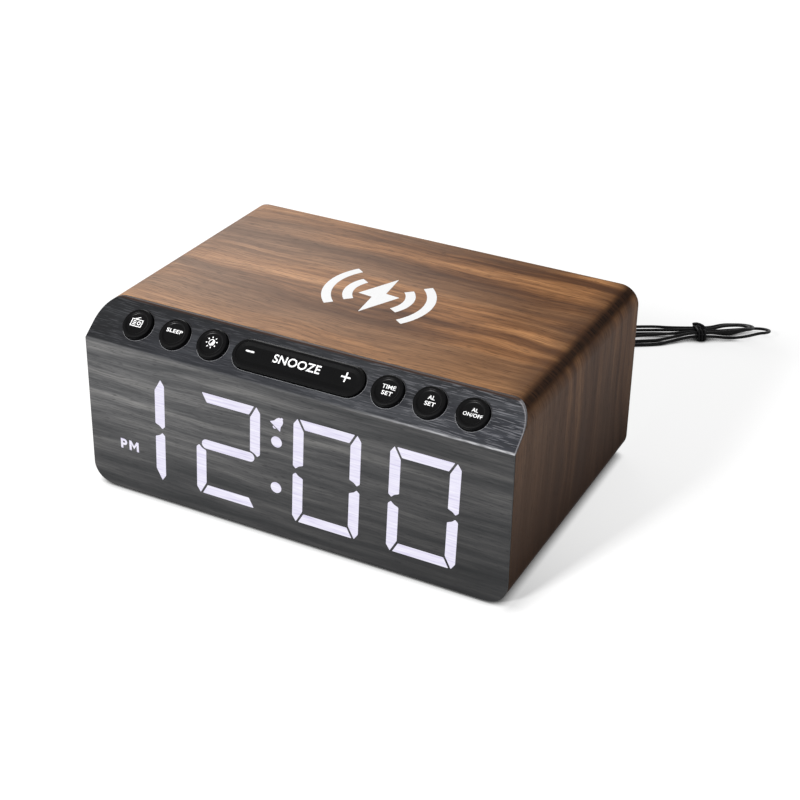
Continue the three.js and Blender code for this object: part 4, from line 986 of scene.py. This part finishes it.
def add_charging_sign(ink):
    centre = Vector((2.75, 3.75))
    bolt = [(0.35, 16.3), (-8.1, -1.8), (-1.85, -2.5), (-0.35, -16.3), (8.1, 1.8), (1.85, 2.5)]
    shapes = [eased([tuple(centre + Vector(p)) for p in bolt], 0.3)]
    for inner, outer, shift, middle, spread in ((22.6, 26.4, (2.9, 2.7), 185.5, 40.5),
                                                (12.4, 16.3, (1.4, 1.55), 186, 38)):
        for sign, facing in ((1, middle), (-1, middle - 180)):
            start, end = facing - spread, facing + spread
            shapes.append(eased(sector(centre + Vector(shift) * sign, inner, outer, start, end), 0.25))
    print_shapes("charging_sign", shapes, LID, 0, ink)


# Back: cross-slotted screws, the charging socket's tongue and contacts, the power jack's pin


def add_screw(name, centre, radius, height, material):
    """A pan-head screw with a cross recess, its head towards the back."""
    profile = [(0, -height), (radius, -height, 0.05 * MM), (radius, -height * 0.35, 0.3 * MM),
               (radius * 0.6, 0, 0.5 * MM), (0, 0)]
    place = Matrix.Translation(centre) @ REAR
    head = mesh_object(name, turned(eased(profile, 0, closed=False)), material, "case", place)
    arm, wide, deep, askew = radius * 0.52, radius * 0.16, height * 0.75, 0.4
    cross = [(wide, wide), (wide, arm), (-wide, arm), (-wide, wide), (-arm, wide), (-arm, -wide),
             (-wide, -wide), (-wide, -arm), (wide, -arm), (wide, -wide), (arm, -wide), (arm, wide)]
    vertices, faces = prism([cross], -deep, deep)
    cutter_mesh = bpy.data.meshes.new(name + "_recess")
    cutter_mesh.from_pydata(vertices, [], faces)
    cutter_mesh.transform(place @ Matrix.Rotation(askew, 4, "Z"))
    cutter = linked(name + "_recess", cutter_mesh)
    carve = head.modifiers.new("recess", "BOOLEAN")
    carve.object = cutter
    carve.solver = "EXACT"
    graph = bpy.context.evaluated_depsgraph_get()
    carved = bpy.data.meshes.new_from_object(head.evaluated_get(graph))
    head.modifiers.clear()
    head.data = carved
    shade(carved)
    bpy.data.objects.remove(cutter)
    return head


def add_back_details(steel, plastic, gold):
    for k in range(1, 5):
        low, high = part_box(f"cover_screw_{k}")
        centre = ((low.x + high.x) / 2, high.y, (low.z + high.z) / 2)
        screw = add_screw(f"screw_head_{k}", centre, (high.x - low.x) / 2, 1.2 * MM, steel)
        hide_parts(f"cover_screw_{k}")
    low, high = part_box("charge_socket")
    middle = (low.x + high.x) / 2
    tongue_half, tongue_low = 5.55, low.z + 2.85 * MM
    tongue = in_mm([(-tongue_half, -0.05), (tongue_half, -0.05), (tongue_half, 1.85), (-tongue_half, 1.85)])
    place = Matrix.Translation((middle, high.y - 4.4 * MM, tongue_low))
    place = place @ Matrix.Rotation(math.pi / 2, 4, "X")
    mesh_object("socket_tongue", prism([eased(tongue, 0.3 * MM)], 0, 9.3 * MM), plastic, "case",
                place)
    half, under, over = 0.5, -0.14, 0.02
    strips = [in_mm([(x - half, under), (x + half, under), (x + half, over), (x - half, over)])
              for x in (-3.5, -1.0, 1.0, 3.5)]
    mesh_object("socket_contacts", prism(strips, 0.6 * MM, 8 * MM), gold, "case", place)
    low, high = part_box("power_jack")
    radius, length = 1.06 * MM, 8.6 * MM
    pin = [(0, 0), (radius, 0, 0), (radius, length, 0.5 * MM), (0, length)]
    place = Matrix.Translation(((low.x + high.x) / 2, high.y - 8.9 * MM, (low.z + high.z) / 2)) @ REAR
    mesh_object("jack_pin", turned(eased(pin, 0, closed=False), steps=16), steel, "case", place)


# Stage: floor, lamps and world


def add_floor():
    """White to the camera but for the object's shadow; painted shade darkest in the gap under it, fading
    beside it.
    """
    tree = Tree("floor")
    seen_white, mirrored = tree.rays()
    gap = tree.add("AmbientOcclusion", out="AO", Distance=6 * MM)
    x, y, _ = tree.axes()
    # Painted shadow on the floor right of the case, inside a slanted edge, halving every 28 mm towards the
    # back.
    beside = tree.times(tree.remap(x, 86 * MM, 91 * MM), tree.remap(y, -66 * MM, -58 * MM))
    edge, edge_width, edge_slope, halvings, darkest = 106 * MM, 8 * MM, 0.27, 10.0, 0.45
    along_edge = tree.math("MULTIPLY_ADD", y, -edge_slope, x)
    within = tree.remap(along_edge, edge, edge + edge_width, 1.0, 0.0)
    fading = tree.math("POWER", 0.5, tree.remap(y, -60 * MM, 220 * MM, 0.0, halvings))
    shadow = tree.times(tree.times(beside, within), tree.times(fading, darkest))
    # Painted shade: the floor's colour darkens by ambient occlusion in the gap under the case.
    tree.finish(Base_Color=tree.mix(tree.remap(gap, 0.15, 0.60), (0.04, 0.04, 0.04), (0.32, 0.32, 0.32)),
                Roughness=0.9, Specular_IOR_Level=0.0)
    away = tree.add("VectorMath", out="Value", settings={"operation": "LENGTH"}, i0=tree.place())
    white = tree.times(seen_white, tree.remap(away, 0.5, 1.5, 0.78, 1.0))
    seen = tree.math("MULTIPLY_ADD", mirrored, 0.3, white)
    # Painted shade: the glow dims by the same occlusion and by the painted shadow.
    openness = tree.times(tree.remap(gap, 0.25, 0.75), tree.math("SUBTRACT", 1.0, shadow))
    glow = tree.add("Emission", Strength=tree.times(seen, openness))
    lit = tree.add("AddShader", i0=tree.nodes["Principled BSDF"].outputs[0], i1=glow)
    tree.set(tree.nodes["Material Output"], "Surface", lit)
    size = 3
    corners = [(-size, -size, 0), (size, -size, 0), (size, size, 0), (-size, size, 0)]
    mesh = bpy.data.meshes.new("floor")
    mesh.from_pydata(corners, [], [(0, 1, 2, 3)])
    mesh.materials.append(tree.owner)
    linked("floor", mesh)


def add_world():
    """White to the camera and in mirrored directions near the horizon, soft grey light elsewhere."""
    tree = Tree("studio", world=True)
    seen_white, mirrored = tree.rays()
    up = tree.axes("Generated")[2]
    horizon = tree.times(tree.remap(up, 0.35, 0.75, 1.0, 0.3, "SMOOTHSTEP"), mirrored)
    as_light = tree.math("MAXIMUM", tree.remap(up, 0.0, 0.7, 0.22, 0.48, "SMOOTHSTEP"), horizon)
    background = tree.nodes["Background"]
    tree.set(background, "Color", (1, 1, 1, 1))
    tree.set(background, "Strength", tree.math("MAXIMUM", seen_white, as_light))
    bpy.context.scene.world = tree.owner


def add_lamp(name, place, size, power):
    data = bpy.data.lights.new(name, "AREA")
    data.shape = "SQUARE"
    data.size = size
    data.energy = power
    lamp = linked(name, data)
    lamp.location = place
    aim = Vector((0, 0, 0.04)) - Vector(place)
    lamp.rotation_euler = aim.to_track_quat("-Z", "Y").to_euler()


def add_stage():
    add_floor()
    add_world()
    add_lamp("key_lamp", (-0.345, -1.25, 0.76), 0.22, 26)
    add_lamp("back_lamp", (-0.62, 0.95, 0.54), 0.5, 2)
    bpy.context.scene.view_settings.view_transform = "Standard"


def dress(material, *names):
    for name in names:
        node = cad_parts[name]
        node.data.materials.clear()
        node.data.materials.append(material)


def numbered(name, count):
    return [f"{name}_{k}" for k in range(1, count + 1)]


add_camera()
wire_jacket = moulded("wire_jacket", (0.0025, 0.0025, 0.003), 0.38, 0.2)
add_aerial(wire_jacket)
add_stage()

SHADING = shading_group()
key_plastic = moulded("key_plastic", (0.0016, 0.0016, 0.0018), 0.32, 0.14)
film = grey_wood()
add_keys(key_plastic, moulded("film_edge", (0.26, 0.26, 0.27), 0.4))
print_ink = printed()
add_legends(print_ink)
add_display(lit_film())
add_charging_sign(print_ink)

plated_steel = metal("plated_steel", (0.6, 0.6, 0.62), 0.3)
white_plastic = moulded("white_plastic", (0.75, 0.75, 0.72), 0.5)
add_back_details(plated_steel, white_plastic, metal("gold_plate", (0.8, 0.56, 0.25), 0.3))

dress(walnut(), "housing_sleeve")
dress(film, "front_panel")
dress(key_plastic, *[f"{key}_button" for key in KEY_PLACES], "snooze_bar")
black = moulded("black_plastic", (0.02, 0.02, 0.021), 0.55)
dress(black, "back_cover", "battery_door", "power_jack", "battery_holder", "display_mask",
      *[f"{key}_switch" for key in (*KEY_PLACES, "minus", "snooze", "plus")])
rubber = moulded("rubber", (0.018, 0.018, 0.018), 0.7)
dress(rubber, *numbered("foot", 4), "antenna_grommet", "hank_tie")
dress(white_plastic, "display_diffuser", "snooze_plunger")
dress(circuit_board(), "main_board", "key_board", "lamp_board")
dress(plated_steel, "charge_socket", "coin_cell", "speaker_frame",
      *numbered("cover_screw", 4),
      *[screw for board in ("main", "key", "lamp") for screw in numbered(f"{board}_board_screw", 2)])
dress(metal("copper_wire", (0.75, 0.36, 0.2), 0.35), "charging_coil")
dress(moulded("ferrite", (0.03, 0.03, 0.032), 0.6), "ferrite_sheet", "speaker_magnet")
dress(moulded("cone_paper", (0.025, 0.025, 0.026), 0.85), "speaker_cone")
dress(moulded("bare_wood", (0.5, 0.36, 0.22), 0.7), *numbered("corner_block", 4))

soften(["housing_sleeve", "front_panel"], 0.3 * MM)
soften(["back_cover", "battery_door", "snooze_bar", "charge_socket"], 0.15 * MM)
soften(["power_jack", "antenna_grommet", "speaker_cone", "speaker_frame", "coin_cell", "charging_coil",
        *numbered("foot", 4)], 0)
